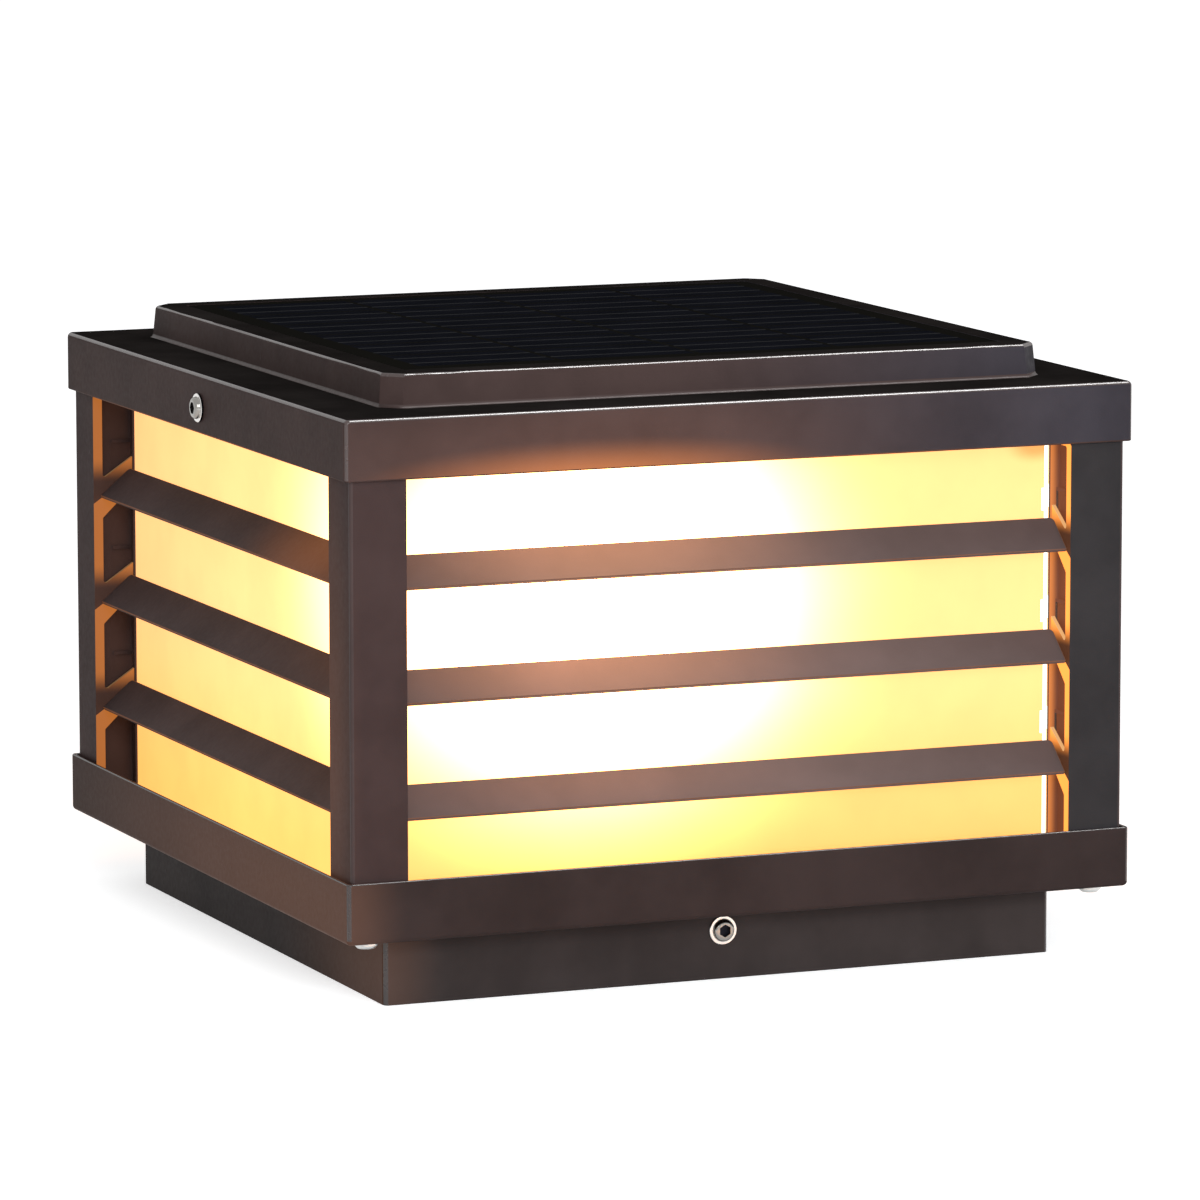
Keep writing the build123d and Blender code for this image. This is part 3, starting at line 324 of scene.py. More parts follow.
@dataclass(frozen=True)
class Haze:
    """Warm light that the lamp lays on paint next to an opening, placed in the object's own space.

    Args:
        colour: Its colour where it is strongest.
        strength: The emission strength.
        middle: Its centre, in metres.
        reach: How far it goes along each axis, in metres.
    """

    colour: Colour
    strength: float
    middle: Triple
    reach: Triple

    def light(self, graph: Graph, whole: float, shade: Feed = 1.0) -> bpy.types.NodeSocket:
        """Its light at each point.

        Args:
            graph: The material's graph.
            whole: The emission strength that the shader is set to.
            shade: A further factor.

        Returns:
            The colour to give out.
        """
        share = graph.ease(graph.distance(self.middle, self.reach), 1.0, 0.0, 0.0, self.strength / whole)
        return graph.scaled(self.colour, graph.math("MULTIPLY", share, shade))

    @staticmethod
    def lay(hazes: Sequence["Haze"], graph: Graph, shade: Feed = 1.0) -> None:
        """Adds several to a graph's shader.

        Args:
            hazes: The hazes.
            graph: The material's graph.
            shade: A further factor for all.
        """
        whole = max(haze.strength for haze in hazes)
        total = hazes[0].light(graph, whole, shade)
        for haze in hazes[1:]:
            joined = graph.node("ShaderNodeVectorMath", operation="ADD")
            graph.feed(joined.inputs[0], total)
            graph.feed(joined.inputs[1], haze.light(graph, whole, shade))
            total = joined.outputs[0]
        graph.set(Emission_Color=total, Emission_Strength=whole)


@dataclass(frozen=True)
class SlatShade:
    """How the slats shade the combs: dark just above each slat, then clear up to the next one.

    Args:
        lowest: Level of the lowest row of shade at the posts' faces, in metres.
        pitch: Height from slat to slat.
        slope: The slats' rise per metre of depth.
        face: The posts' faces, from the middle.
        dark, clear: Heights above a slat's outer edge where the shade starts to fade and where it ends.
        least: The share of light in the shade.
    """

    lowest: float = 0.0549
    pitch: float = 0.0336
    slope: float = 0.68
    face: float = 0.123
    dark: float = 0.0066
    clear: float = 0.0145
    least: float = 0.03

    def factor(self, graph: Graph) -> bpy.types.NodeSocket:
        """Works the shade out.

        Args:
            graph: The material's graph.

        Returns:
            The share of light at each point.
        """
        x, y, z = graph.axes()
        far = graph.math("MAXIMUM", graph.math("ABSOLUTE", x), graph.math("ABSOLUTE", y))
        rise = graph.math("MULTIPLY", graph.math("SUBTRACT", self.face, far), self.slope)
        over = graph.math("SUBTRACT", graph.math("SUBTRACT", z, self.lowest), rise)
        row = graph.math("FLOORED_MODULO", over, self.pitch)
        return graph.ease(graph.math("ADD", row, rise), self.dark, self.clear, self.least, 1.0)


@dataclass(frozen=True)
class PowderCoat:
    """Matt powder paint on sheet: fine orange peel, a cloudy tone and a few dust nibs.

    Args:
        name: The material's name.
        colour: The paint's colour.
        rough: Its roughness.
        gloss: Its specular level.
        cloud: Share by which the tone varies.
        hazes: Warm light on it, if any.
        cool: The tone that it drifts to towards +X, if any; painted light, the lamp's warm glow fading away from -X.
        drift: Where along X the drift starts and ends, in metres.
        peel: Depth of the orange peel, in metres.
        shade: Shade on that light, if any.
    """

    name: str
    colour: Colour
    rough: float = 0.46
    gloss: float = 0.02
    cloud: float = 0.16
    hazes: tuple[Haze, ...] = ()
    cool: Optional[Colour] = None
    drift: tuple[float, float] = (-0.03, 0.12)
    peel: float = 0.00004
    shade: Optional[SlatShade] = None

    def material(self) -> bpy.types.Material:
        """Makes the material.

        Returns:
            The material.
        """
        graph = Graph(self.name)
        clouds = graph.noise(22.0, detail=4.0, roughness=0.62)
        streaks = graph.noise(90.0, stretch=(1.0, 1.0, 0.25))
        tone = graph.math("ADD", graph.waver(clouds, 1.0 - self.cloud, 1.0 + self.cloud),
                          graph.waver(streaks, -0.04, 0.04, margin=0.2))
        paint: Tint = self.colour
        # Painted light: the paint turns from the warm bronze at -X to a greyer tone towards +X, standing for the
        # lamp's warm glow fading.
        if self.cool:
            paint = graph.mix(graph.ease(graph.axes()[0], *self.drift), self.colour, self.cool)
        graph.set(Base_Color=graph.scaled(paint, tone),
                  Roughness=graph.waver(graph.noise(600.0), self.rough - 0.05, self.rough + 0.05, margin=0.2),
                  Specular_IOR_Level=self.gloss)
        peel = graph.noise(1500.0, roughness=0.55)
        nibs = graph.ease(graph.noise(330.0, detail=0.0), 0.83, 0.9, 0.0, 1.6)
        graph.relief(graph.math("ADD", peel, nibs), self.peel, 0.55)
        # Painted light: the hazes are lamp light painted as emission, dimmed by painted shade from the slats where
        # one is given.
        if self.hazes:
            Haze.lay(self.hazes, graph, self.shade.factor(graph) if self.shade else 1.0)
        return graph.material


@dataclass(frozen=True)
class LitSheet:
    """Frosted sheet lit from behind by the lamp: one warm light whose strength varies over the sheet.

    Args:
        name: The material's name.
        middle: Centre of the bright patch, in metres.
        reach: The patch's half sizes, in metres; an axis it doesn't vary along has a large one.
        bright, plain: Strength in the patch and away from it.
        edge: Where the patch starts and stops fading, as shares of its reach.
        fall_axis: 0, 1 or 2 where the plain light changes along x, y or z, else None.
        fall: Strength at the low and at the high end of that axis, at fall_ends metres.
        run_axis: 0 or 1, the level axis that the sheet runs along.
        glow: The light's colour.
        low_glow: Its colour at the sheet's foot.
        low_levels: Where that colour is whole and where it ends, in metres.
        tail: Power that draws the patch's edge out.
        stain: Middle of a patch shaded by the header, and its half sizes, if any.
        stain_light: That patch's light, red, green and blue.
        strip: Strength of the white light painted along the sheet's side edges.
        strip_tint: That light's tint.
        strip_start: How far from the middle it starts, in metres.
        notch_start: How far from the middle it starts where the rails' tabs let it in further.
        notch_height: How high such a notch is.
        notches: The notches' upper ends.
    """

    name: str
    middle: Triple
    reach: Triple
    bright: float
    plain: float
    edge: tuple[float, float] = (0.75, 1.25)
    fall_axis: Optional[int] = None
    fall: tuple[float, float] = (1.0, 1.0)
    fall_ends: tuple[float, float] = (-0.1, 0.1)
    run_axis: int = 0
    glow: Colour = (1.0, 0.425, 0.155)
    low_glow: Colour = (1.0, 0.41, 0.1)
    low_levels: tuple[float, float] = (0.035, 0.1)
    tail: float = 3.0
    stain: Optional[tuple[Triple, Triple]] = None
    stain_light: Triple = (0.95, 0.38, 0.095)
    strip: float = 2.2
    strip_tint: Triple = (1.0, 0.96, 0.86)
    strip_start: float = 0.1034
    notch_start: float = 0.1021
    notch_height: float = 0.0068
    notches: tuple[float, ...] = (0.1418, 0.1082, 0.0745)

    def material(self) -> bpy.types.Material:
        """Makes the material.

        Returns:
            The material.
        """
        graph = Graph(self.name)
        far = graph.distance(self.middle, self.reach)
        patch = graph.math("POWER", graph.ease(far, *self.edge, 1.0, 0.0), self.tail)
        plain: Feed = self.plain
        if self.fall_axis is not None:
            along = graph.axes()[self.fall_axis]
            plain = graph.ease(along, *self.fall_ends, *self.fall, smooth=False)
        mottle = graph.waver(graph.noise(45.0, detail=3.0), 0.97, 1.03)
        base = graph.math("MULTIPLY", plain, mottle)
        level = graph.math("MULTIPLY_ADD", patch, self.bright - self.plain, base)
        low = graph.ease(graph.axes()[2], *self.low_levels, 1.0, 0.0)
        warm = graph.scaled(graph.mix(low, self.glow, self.low_glow), graph.math("DIVIDE", level, self.bright))
        # Painted shade: a patch near the header is painted darker.
        if self.stain:
            dark = tuple(part / self.bright for part in self.stain_light)
            warm = graph.mix(graph.ease(graph.distance(*self.stain), 0.2, 1.0, 0.9, 0.0), warm, dark)
        # Painted light: white light along the sheet's side edges and in the notches by the rails' tabs.
        white = tuple(self.strip / self.bright * part for part in self.strip_tint)
        colour = graph.mix(self.edges(graph), warm, white)
        graph.set(Base_Color=(0.16, 0.11, 0.05), Roughness=0.6, Specular_IOR_Level=0.0,
                  Emission_Color=colour, Emission_Strength=self.bright)
        graph.relief(graph.noise(2600.0), 0.00003, 0.4)
        return graph.material

    def edges(self, graph: Graph) -> bpy.types.NodeSocket:
        """1 on the side edges and in the notches beside them, where white light is painted, else 0.

        Args:
            graph: The material's graph.

        Returns:
            The mask.
        """
        places = graph.axes()
        far = graph.math("ABSOLUTE", places[self.run_axis])
        mask = graph.math("GREATER_THAN", far, self.strip_start)
        beside = graph.math("GREATER_THAN", far, self.notch_start)
        for level in self.notches:
            middle = level - self.notch_height / 2
            near = graph.math("COMPARE", places[2], middle, self.notch_height / 2)
            mask = graph.math("MAXIMUM", mask, graph.math("MULTIPLY", near, beside))
        return mask


@dataclass(frozen=True)
class BareMetal:
    """Metal with a rolled or turned grain and small tone changes.

    Args:
        name: The material's name.
        colour: Its colour.
        rough: Its roughness.
        grain: Cells of the grain per metre.
        spangle: Share by which patches of the plating differ.
    """

    name: str
    colour: Colour
    rough: float
    grain: float = 900.0
    spangle: float = 0.1

    def material(self) -> bpy.types.Material:
        """Makes the material.

        Returns:
            The material.
        """
        graph = Graph(self.name)
        patches = graph.noise(160.0, detail=3.0, roughness=0.6)
        grain = graph.noise(self.grain)
        tone = graph.waver(patches, 1.0 - self.spangle, 1.0 + self.spangle * 0.4)
        graph.set(Base_Color=graph.scaled(self.colour, tone), Metallic=1.0,
                  Roughness=graph.waver(grain, self.rough - 0.05, self.rough + 0.08, margin=0.2))
        graph.relief(grain, 0.00002, 0.35)
        return graph.material


@dataclass(frozen=True)
class Moulding:
    """Moulded plastic, rubber or foam: spark-eroded grain and a soft tone change.

    Args:
        name: The material's name.
        colour: Its colour.
        rough: Its roughness.
        gloss: Its specular level.
        grain: Cells of the surface grain per metre.
        depth: Depth of the grain, in metres.
    """

    name: str
    colour: Colour
    rough: float = 0.5
    gloss: float = 0.4
    grain: float = 1400.0
    depth: float = 0.00003

    def material(self) -> bpy.types.Material:
        """Makes the material.

        Returns:
            The material.
        """
        graph = Graph(self.name)
        tone = graph.waver(graph.noise(35.0, detail=3.0), 0.93, 1.04)
        graph.set(Base_Color=graph.scaled(self.colour, tone), Specular_IOR_Level=self.gloss,
                  Roughness=graph.waver(graph.noise(240.0), self.rough - 0.04, self.rough + 0.05))
        graph.relief(graph.noise(self.grain, detail=3.0, roughness=0.6), self.depth, 0.5)
        return graph.material


@dataclass(frozen=True)
class SolarLaminate:
    """Dark cells under a textured cover: cell rows with busbars and fine fingers on a black sheet.

    Args:
        name: The material's name.
        half: Half the laminate's width, in metres.
        margin: Black border round the cells.
        columns, rows: How many cells there are each way.
        gap: Space between cells.
        bus_place: Where a cell's two busbars lie, as a share of its pitch from either side.
        bus_width: Their width.
        finger_pitch: Space from finger to finger.
        finger_width: The fingers' width.
        dark_wafer, light_wafer: The cells' darkest and lightest colour.
        finger, bus, backing: The colours of fingers, busbars and the sheet behind.
    """

    name: str
    half: float
    margin: float = 0.006
    columns: int = 4
    rows: int = 6
    gap: float = 0.0016
    bus_place: float = 0.27
    bus_width: float = 0.0011
    finger_pitch: float = 0.0018
    finger_width: float = 0.00022
    dark_wafer: Colour = (0.0055, 0.006, 0.0085)
    light_wafer: Colour = (0.0075, 0.008, 0.0115)
    finger: Colour = (0.03, 0.03, 0.031)
    bus: Colour = (0.04, 0.04, 0.041)
    backing: Colour = (0.0085, 0.008, 0.0068)

    def material(self) -> bpy.types.Material:
        """Makes the material.

        Returns:
            The material.
        """
        graph = Graph(self.name)
        x, y, _ = graph.axes()
        field_half = self.half - self.margin
        pitch_x, pitch_y = 2 * field_half / self.columns, 2 * field_half / self.rows
        across = graph.math("MODULO", graph.math("ADD", x, field_half), pitch_x)
        along = graph.math("MODULO", graph.math("ADD", y, field_half), pitch_y)

        def between(value: Feed, low: float, high: float) -> bpy.types.NodeSocket:
            """1 where a value lies in a range, else 0."""
            return graph.math("MULTIPLY", graph.math("GREATER_THAN", value, low),
                              graph.math("LESS_THAN", value, high))

        inside = graph.math("MULTIPLY", between(x, -field_half, field_half), between(y, -field_half, field_half))
        cell = graph.math("MULTIPLY", between(across, self.gap / 2, pitch_x - self.gap / 2),
                          between(along, self.gap / 2, pitch_y - self.gap / 2))
        cell = graph.math("MULTIPLY", cell, inside)
        near, far = pitch_y * self.bus_place, pitch_y * (1.0 - self.bus_place)
        bus = graph.math("ADD", between(along, near, near + self.bus_width),
                         between(along, far - self.bus_width, far))
        column = graph.math("MODULO", graph.math("ADD", x, 1.0), self.finger_pitch)
        finger = graph.math("LESS_THAN", column, self.finger_width)
        wafer = graph.mix(graph.waver(graph.noise(70.0)), self.dark_wafer, self.light_wafer)
        lined = graph.mix(graph.math("MULTIPLY", finger, 0.25), wafer, self.finger)
        colour = graph.mix(cell, self.backing, graph.mix(bus, lined, self.bus))
        graph.set(Base_Color=colour, Roughness=0.5, Specular_IOR_Level=0.0)
        return graph.material


@dataclass(frozen=True)
class CircuitBoard:
    """A printed board: solder mask over copper tracks, with bare pads.

    Args:
        name: The material's name.
        mask: The mask's colour.
        track: Its colour over copper.
        pad: The bare pads' colour.
        pads_per_metre: How close they lie.
        pad_size: Their radius, as a share of that.
    """

    name: str
    mask: Colour
    track: Colour
    pad: Colour = (0.6, 0.55, 0.42)
    pads_per_metre: float = 210.0
    pad_size: float = 0.16

    def material(self) -> bpy.types.Material:
        """Makes the material.

        Returns:
            The material.
        """
        graph = Graph(self.name)
        runs = graph.node("ShaderNodeTexBrick", offset=0.37, squash=1.0)
        graph.feed(runs.inputs["Vector"], graph.spread())
        for name, number in (("Scale", 260.0), ("Mortar Size", 0.045), ("Brick Width", 1.6), ("Row Height", 0.5)):
            runs.inputs[name].default_value = number
        tracks = runs.outputs["Fac"]
        dots = graph.node("ShaderNodeTexVoronoi", feature="F1")
        graph.feed(dots.inputs["Vector"], graph.spread())
        dots.inputs["Scale"].default_value = self.pads_per_metre
        pads = graph.math("LESS_THAN", dots.outputs["Distance"], self.pad_size)
        colour = graph.mix(pads, graph.mix(tracks, self.mask, self.track), self.pad)
        graph.set(Base_Color=colour, Roughness=0.34, Metallic=graph.math("MULTIPLY", pads, 0.8))
        graph.relief(graph.math("ADD", tracks, pads), 0.00004, 0.4)
        return graph.material


@dataclass(frozen=True)
class CellWrap:
    """A battery cell's shrink wrap with bare metal ends.

    Args:
        name: The material's name.
        wrap: The wrap's colour.
        band: The colour of the band near its plus end.
        half_length: Half the cell's length, in metres.
        bare_end: How much of each end is bare.
        band_end: How far from the end the band reaches.
        metal: The bare ends' colour.
    """

    name: str
    wrap: Colour
    band: Colour
    half_length: float
    bare_end: float = 0.9 * MM
    band_end: float = 9.0 * MM
    metal: Colour = (0.62, 0.61, 0.58)

    def material(self) -> bpy.types.Material:
        """Makes the material.

        Returns:
            The material.
        """
        graph = Graph(self.name)
        _, y, _ = graph.axes()
        end = graph.math("ABSOLUTE", y)
        bare = graph.math("GREATER_THAN", end, self.half_length - self.bare_end)
        banded = graph.math("GREATER_THAN", end, self.half_length - self.band_end)
        colour = graph.mix(bare, graph.mix(banded, self.wrap, self.band), self.metal)
        graph.set(Base_Color=colour, Metallic=bare, Roughness=graph.waver(graph.noise(300.0), 0.24, 0.36))
        graph.relief(graph.noise(120.0, detail=3.0), 0.00006, 0.3)
        return graph.material


@dataclass(frozen=True)
class Glower:
    """Opal plastic or phosphor that shines evenly.

    Args:
        name: The material's name.
        colour: Its own colour.
        glow: The light's colour.
        strength: The light's strength.
    """

    name: str
    colour: Colour
    glow: Colour
    strength: float

    def material(self) -> bpy.types.Material:
        """Makes the material.

        Returns:
            The material.
        """
        graph = Graph(self.name)
        soft = graph.waver(graph.noise(60.0), 0.94, 1.0)
        graph.set(Base_Color=self.colour, Roughness=0.45, Emission_Color=graph.scaled(self.glow, soft),
                  Emission_Strength=self.strength)
        graph.relief(graph.noise(1800.0), 0.00002, 0.3)
        return graph.material


Finish = Union[PowderCoat, LitSheet, BareMetal, Moulding, SolarLaminate, CircuitBoard, CellWrap, Glower]


class Palette:
    """Every finish of the lantern, made once."""

    # One powder coat throughout: the tones below are set part by part as painted light and shade, lighter where a
    # part is better lit and darker where it is less lit. The second, greyer tones paint the lamp's warm glow fading
    # towards +X, and the top's tone is painted dark as painted shade.
    BRONZE = from_screen(58, 46, 44)
    COOL_BRONZE = from_screen(50, 47, 52)
    TRAY_BRONZE = from_screen(44, 36, 35)
    PLINTH_BRONZE = from_screen(49, 43, 42)
    POST_BRONZE = from_screen(55, 43, 42)
    COOL_POST = from_screen(43, 41, 42)
    SLAT_BRONZE = from_screen(64, 55, 55)
    TOP_BLACK = from_screen(33, 30, 29)

    def __init__(self) -> None:
        """Makes the materials."""
        ember = (1.0, 0.3, 0.045)
        comb = (0.106, -0.117, 0.1)
        everywhere = (9.0, 9.0, 9.0)
        # Painted light: each Haze is lamp light painted as emission on the paint beside the glowing sheets, on the
        # skirt, tray, plinth, posts, slats, combs and rails.
        skirt = (Haze((1.0, 0.3, 0.06), 0.5, (-0.048, -0.125, 0.1545), (0.08, 0.004, 0.012)),
                 Haze((1.0, 0.4, 0.26), 0.045, (-0.05, -0.125, 0.16), (0.12, 0.004, 0.03)))
        painted_glow_pink = (1.0, 0.45, 0.26)
        tray = (Haze(painted_glow_pink, 0.075, (-0.125, -0.1, 0.03), (0.02, 0.3, 0.06)),)
        plinth = (Haze(painted_glow_pink, 0.05, (-0.107, -0.11, 0.01), (0.02, 0.1, 0.04)),)
        post = (Haze((1.0, 0.4, 0.2), 0.09, (-0.128, -0.105, 0.08), (0.012, 0.03, 0.12)),)
        slat = (Haze((1.0, 0.45, 0.22), 0.27, (-0.04, -0.116, 0.125), (0.085, 0.03, 0.08)),
                Haze((1.0, 0.7, 0.62), 0.105, (0.0, -0.116, 0.075), (0.19, 0.04, 0.13)),
                Haze((1.0, 0.3, 0.06), 0.12, (-0.116, -0.075, 0.128), (0.03, 0.06, 0.03)))
        spine = (Haze(ember, 1.8, comb, (0.47, 0.47, 0.47)),)
        web = (Haze((1.0, 0.27, 0.1), 0.17, comb, (0.34, 0.34, 0.34)),)
        finishes: tuple[Finish, ...] = (
            PowderCoat("cap_coat", self.BRONZE, hazes=skirt, cool=self.COOL_BRONZE),
            # Painted shade: the cap's top faces get a darker tone than its sides, with no sheen.
            PowderCoat("cap_top_painted_dark", self.TOP_BLACK, rough=0.7, gloss=0.0, cloud=0.3),
            PowderCoat("cap_bend", self.BRONZE, 0.24, 0.6, peel=0.00001),
            PowderCoat("cap_foot", self.BRONZE, 0.4, 0.16, peel=0.00001),
            # Painted light: the skirt's lower rim glows with lamp light on every side.
            PowderCoat("cap_rim_painted_glow", self.BRONZE, hazes=tuple(
                Haze(ember, 0.14, tuple(side.out * 0.125 + Vector((0, 0, 0.157))),
                     tuple(0.13 - 0.115 * abs(part) for part in side.out)) for side in Side)),
            PowderCoat("tray_coat", self.TRAY_BRONZE, hazes=tray),
            PowderCoat("tray_bend", self.TRAY_BRONZE, 0.24, 0.6, peel=0.00001),
            PowderCoat("plinth_coat", self.PLINTH_BRONZE, hazes=plinth),
            PowderCoat("plinth_bend", self.PLINTH_BRONZE, 0.3, 0.5, peel=0.00001),
            PowderCoat("frame_coat", self.POST_BRONZE, hazes=post, cool=self.COOL_POST),
            PowderCoat("frame_bend", self.POST_BRONZE, 0.35, 0.2, peel=0.00001),
            # Painted light: the combs' faces towards the sheets glow with lamp light under painted slat shade, and
            # their cut edges glow as well.
            PowderCoat("comb_lit", self.BRONZE, hazes=spine, shade=SlatShade()),
            PowderCoat("comb_edge_painted_glow", self.BRONZE,
                       hazes=(Haze((1.0, 0.52, 0.2), 0.8, comb, (0.45, 0.45, 0.45)),)),
            PowderCoat("louvre_coat", self.SLAT_BRONZE, hazes=slat),
            # Painted light: the slats' eased edges glow with lamp light.
            PowderCoat("louvre_rim_painted_glow", self.SLAT_BRONZE, hazes=(Haze(ember, 0.12, (0, 0, 0.1), everywhere),)),
            PowderCoat("rail_coat", self.BRONZE),
            # Painted light: the rails' webs, tabs and legs glow with lamp light.
            PowderCoat("web_lit", self.BRONZE, hazes=web),
            PowderCoat("leg_lit", self.BRONZE,
                       hazes=(Haze(ember, 0.6, (0.105, -0.11, 0.1), (0.003, 0.3, 0.4)),) + web),
            LitSheet("front_light", (-0.043, -0.11, 0.115), (0.136, 9.0, 0.125), 32.0, 1.8,
                     edge=(0.0, 1.0), fall_axis=2, fall=(1.42, 1.8), fall_ends=(0.036, 0.085),
                     stain=((0.1, -0.11, 0.1545), (0.011, 9.0, 0.006))),
            LitSheet("left_light", (-0.11, -0.118, 0.125), (9.0, 0.11, 0.1), 9.5, 1.85,
                     edge=(0.0, 1.0), fall_axis=1, fall=(1.85, 1.41), fall_ends=(0.0, 0.105),
                     run_axis=1, glow=(1.0, 0.455, 0.175), tail=1.6, notches=()),
            LitSheet("rear_light", (0.0, 0.11, 0.12), (0.075, 9.0, 0.06), 5.5, 1.8, edge=(0.2, 1.3)),
            LitSheet("right_light", (0.11, 0.0, 0.12), (9.0, 0.075, 0.06), 5.5, 1.8, edge=(0.2, 1.3), run_axis=1),
            BareMetal("zinc_plate", (0.62, 0.63, 0.62), 0.34, spangle=0.22),
            BareMetal("stainless", (0.72, 0.7, 0.68), 0.16, grain=2200.0),
            # Painted reflection: the screws' domes are stainless painted darker, as a dark reflection.
            BareMetal("screw_dome_painted_reflection", (0.3, 0.29, 0.27), 0.1, grain=2200.0),
            # Painted shade: the sockets and the rims' sides are painted near black.
            BareMetal("screw_painted_shade", (0.012, 0.013, 0.018), 0.3, grain=2200.0),
            SolarLaminate("solar_laminate", 0.095),
            Moulding("seal_foam", from_screen(34, 34, 34), 0.9, 0.2, 900.0, 0.0002),
            Moulding("seal_rubber", from_screen(44, 44, 46), 0.75, 0.3),
            Moulding("black_plastic", from_screen(36, 36, 37), 0.5),
            Moulding("lead_sheath", from_screen(64, 64, 67), 0.4),
            Moulding("button_rubber", from_screen(124, 127, 132), 0.62),
            PowderCoat("white_coat", from_screen(226, 224, 218), 0.4, 0.4, 0.03),
            Moulding("white_plastic", from_screen(228, 227, 221), 0.42, 0.45, 1100.0, 0.00005),
            Moulding("reflector_white", from_screen(243, 243, 240), 0.25, 0.6),
            CellWrap("cell_wrap", from_screen(32, 88, 150), from_screen(232, 232, 230), 0.0325),
            CircuitBoard("board_green", (0.012, 0.09, 0.035), (0.03, 0.17, 0.07)),
            CircuitBoard("led_board_white", (0.78, 0.78, 0.75), (0.66, 0.66, 0.62)),
            Glower("led_phosphor", (0.9, 0.7, 0.15), (1.0, 0.5, 0.2), 8.0),
            Glower("opal_dome", (0.86, 0.84, 0.8), (1.0, 0.6, 0.34), 3.2))
        self.made: dict[str, bpy.types.Material] = {finish.name: finish.material() for finish in finishes}

    def __getitem__(self, name: str) -> bpy.types.Material:
        """The material of that name."""
        return self.made[name]


class Bench:
    """Where pieces are made: merged copies of CAD nodes, new meshes and their hand-over to the frame."""

    MERGED = 2e-6
    FLAT = math.radians(0.4)
    SHARP = math.radians(50.0)

    def __init__(self, palette: Palette) -> None:
        """Keeps the palette that pieces are dressed from."""
        self.palette = palette

    @staticmethod
    def copy_of(node: str) -> bmesh.types.BMesh:
        """A merged copy of a CAD node's mesh with its flat faces whole.

        Args:
            node: The node's name.

        Returns:
            The copy.
        """
        mesh = bmesh.new()
        mesh.from_mesh(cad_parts[node].data)
        bmesh.ops.remove_doubles(mesh, verts=mesh.verts, dist=Bench.MERGED)
        bmesh.ops.dissolve_limit(mesh, angle_limit=Bench.FLAT, verts=mesh.verts, edges=mesh.edges,
                                 use_dissolve_boundaries=False)
        return mesh

    @staticmethod
    def bevel(mesh: bmesh.types.BMesh, edges: Sequence[bmesh.types.BMEdge], width: float, segments: int = 2) -> None:
        """Bevels edges.

        Args:
            mesh: The mesh that is changed.
            edges: Its edges that are bevelled.
            width: The bevel's width, in metres.
            segments: Its segments.
        """
        bmesh.ops.bevel(mesh, geom=edges, offset=width, offset_type="OFFSET", affect="EDGES", segments=segments,
                        profile=0.5, material=-1, clamp_overlap=True)

    @staticmethod
    def on_bend(face: bmesh.types.BMFace, widest: float = 0.9 * MM, turned: float = 1.0) -> bool:
        """Whether a face is one of a bend's narrow facets.

        Args:
            face: The face.
            widest: The greatest width of a facet, in metres.
            turned: The least angle between its normal and the nearest axis, in degrees.

        Returns:
            True for such a facet.
        """
        length = max(edge.calc_length() for edge in face.edges)
        straight = max(abs(part) for part in face.normal)
        return straight < math.cos(math.radians(turned)) and face.calc_area() < widest * length

    @staticmethod
    def looks_in(face: bmesh.types.BMFace, plane: float) -> bool:
        """Whether a face lies in a plane square to x or y, and looks towards the middle.

        Args:
            face: The face.
            plane: The plane's distance from the middle, in metres.

        Returns:
            True for such a face.
        """
        spot = face.calc_center_median()
        return any(abs(abs(spot[axis]) - plane) < 0.3 * MM and abs(face.normal[axis]) > 0.99
                   and face.normal[axis] * spot[axis] < 0.0 for axis in (0, 1))

    def hand_over(self, mesh: bmesh.types.BMesh, name: str, body: Body, finish: str,
                  nodes: Sequence[str] = (), slot: Optional[str] = None, crease: float = 32.0,
                  more: Sequence[str] = ()) -> None:
        """Turns a finished bmesh into a piece that rides on its body.

        Args:
            mesh: The bmesh, which is freed.
            name: The piece's name.
            body: The body that it rides on.
            finish: Its finish in the palette.
            nodes: The CAD nodes that it stands for.
            slot: The record's slot, where it isn't the finish's name; not used.
            crease: Edges sharper than this, in degrees, stay sharp.
            more: Further finishes, for faces with a higher material index.
        """
        data = bpy.data.meshes.new(name)
        mesh.to_mesh(data)
        mesh.free()
        data.shade_smooth()
        data.set_sharp_from_angle(angle=math.radians(crease))
        piece = bpy.data.objects.new(name, data)
        bpy.context.scene.collection.objects.link(piece)
        for key in (finish, *more):
            data.materials.append(self.palette[key])
        weighted = piece.modifiers.new("flats_first", "WEIGHTED_NORMAL")
        weighted.keep_sharp = True
        if nodes:
            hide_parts(*nodes)
        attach(piece, body.value)
        log.info("%s: %d faces on %s", name, len(data.polygons), body.value)

    def dressed_copy(self, node: str, body: Body, finish: str, width: float = 0.0, slot: Optional[str] = None,
                     crease: float = 32.0, paint: Optional[Callable[[bmesh.types.BMFace], int]] = None,
                     shape: Optional[Callable[[bmesh.types.BMesh], None]] = None,
                     more: Sequence[str] = ()) -> None:
        """A merged copy of a CAD node with eased edges, in its place.

        Args:
            node: The CAD node.
            body: The body that it rides on.
            finish: Its finish.
            width: Width of the eased edges, in metres; none where it is 0.
            slot: The record's slot, where it isn't the finish's name; handed on to hand_over, which doesn't use it.
            crease: Edges sharper than this, in degrees, stay sharp.
            paint: Gives a face's index among the finishes, where the piece has more than one.
            shape: Changes the mesh's shape first, if given.
            more: The further finishes.
        """
        mesh = self.copy_of(node)
        if shape:
            shape(mesh)
        if width:
            self.bevel(mesh, [edge for edge in mesh.edges
                              if edge.is_manifold and edge.calc_face_angle(0.0) > self.SHARP], width)
        if paint:
            for face in mesh.faces:
                face.material_index = paint(face)
        self.hand_over(mesh, f"{node}_dressed", body, finish, (node,), slot, crease, more)


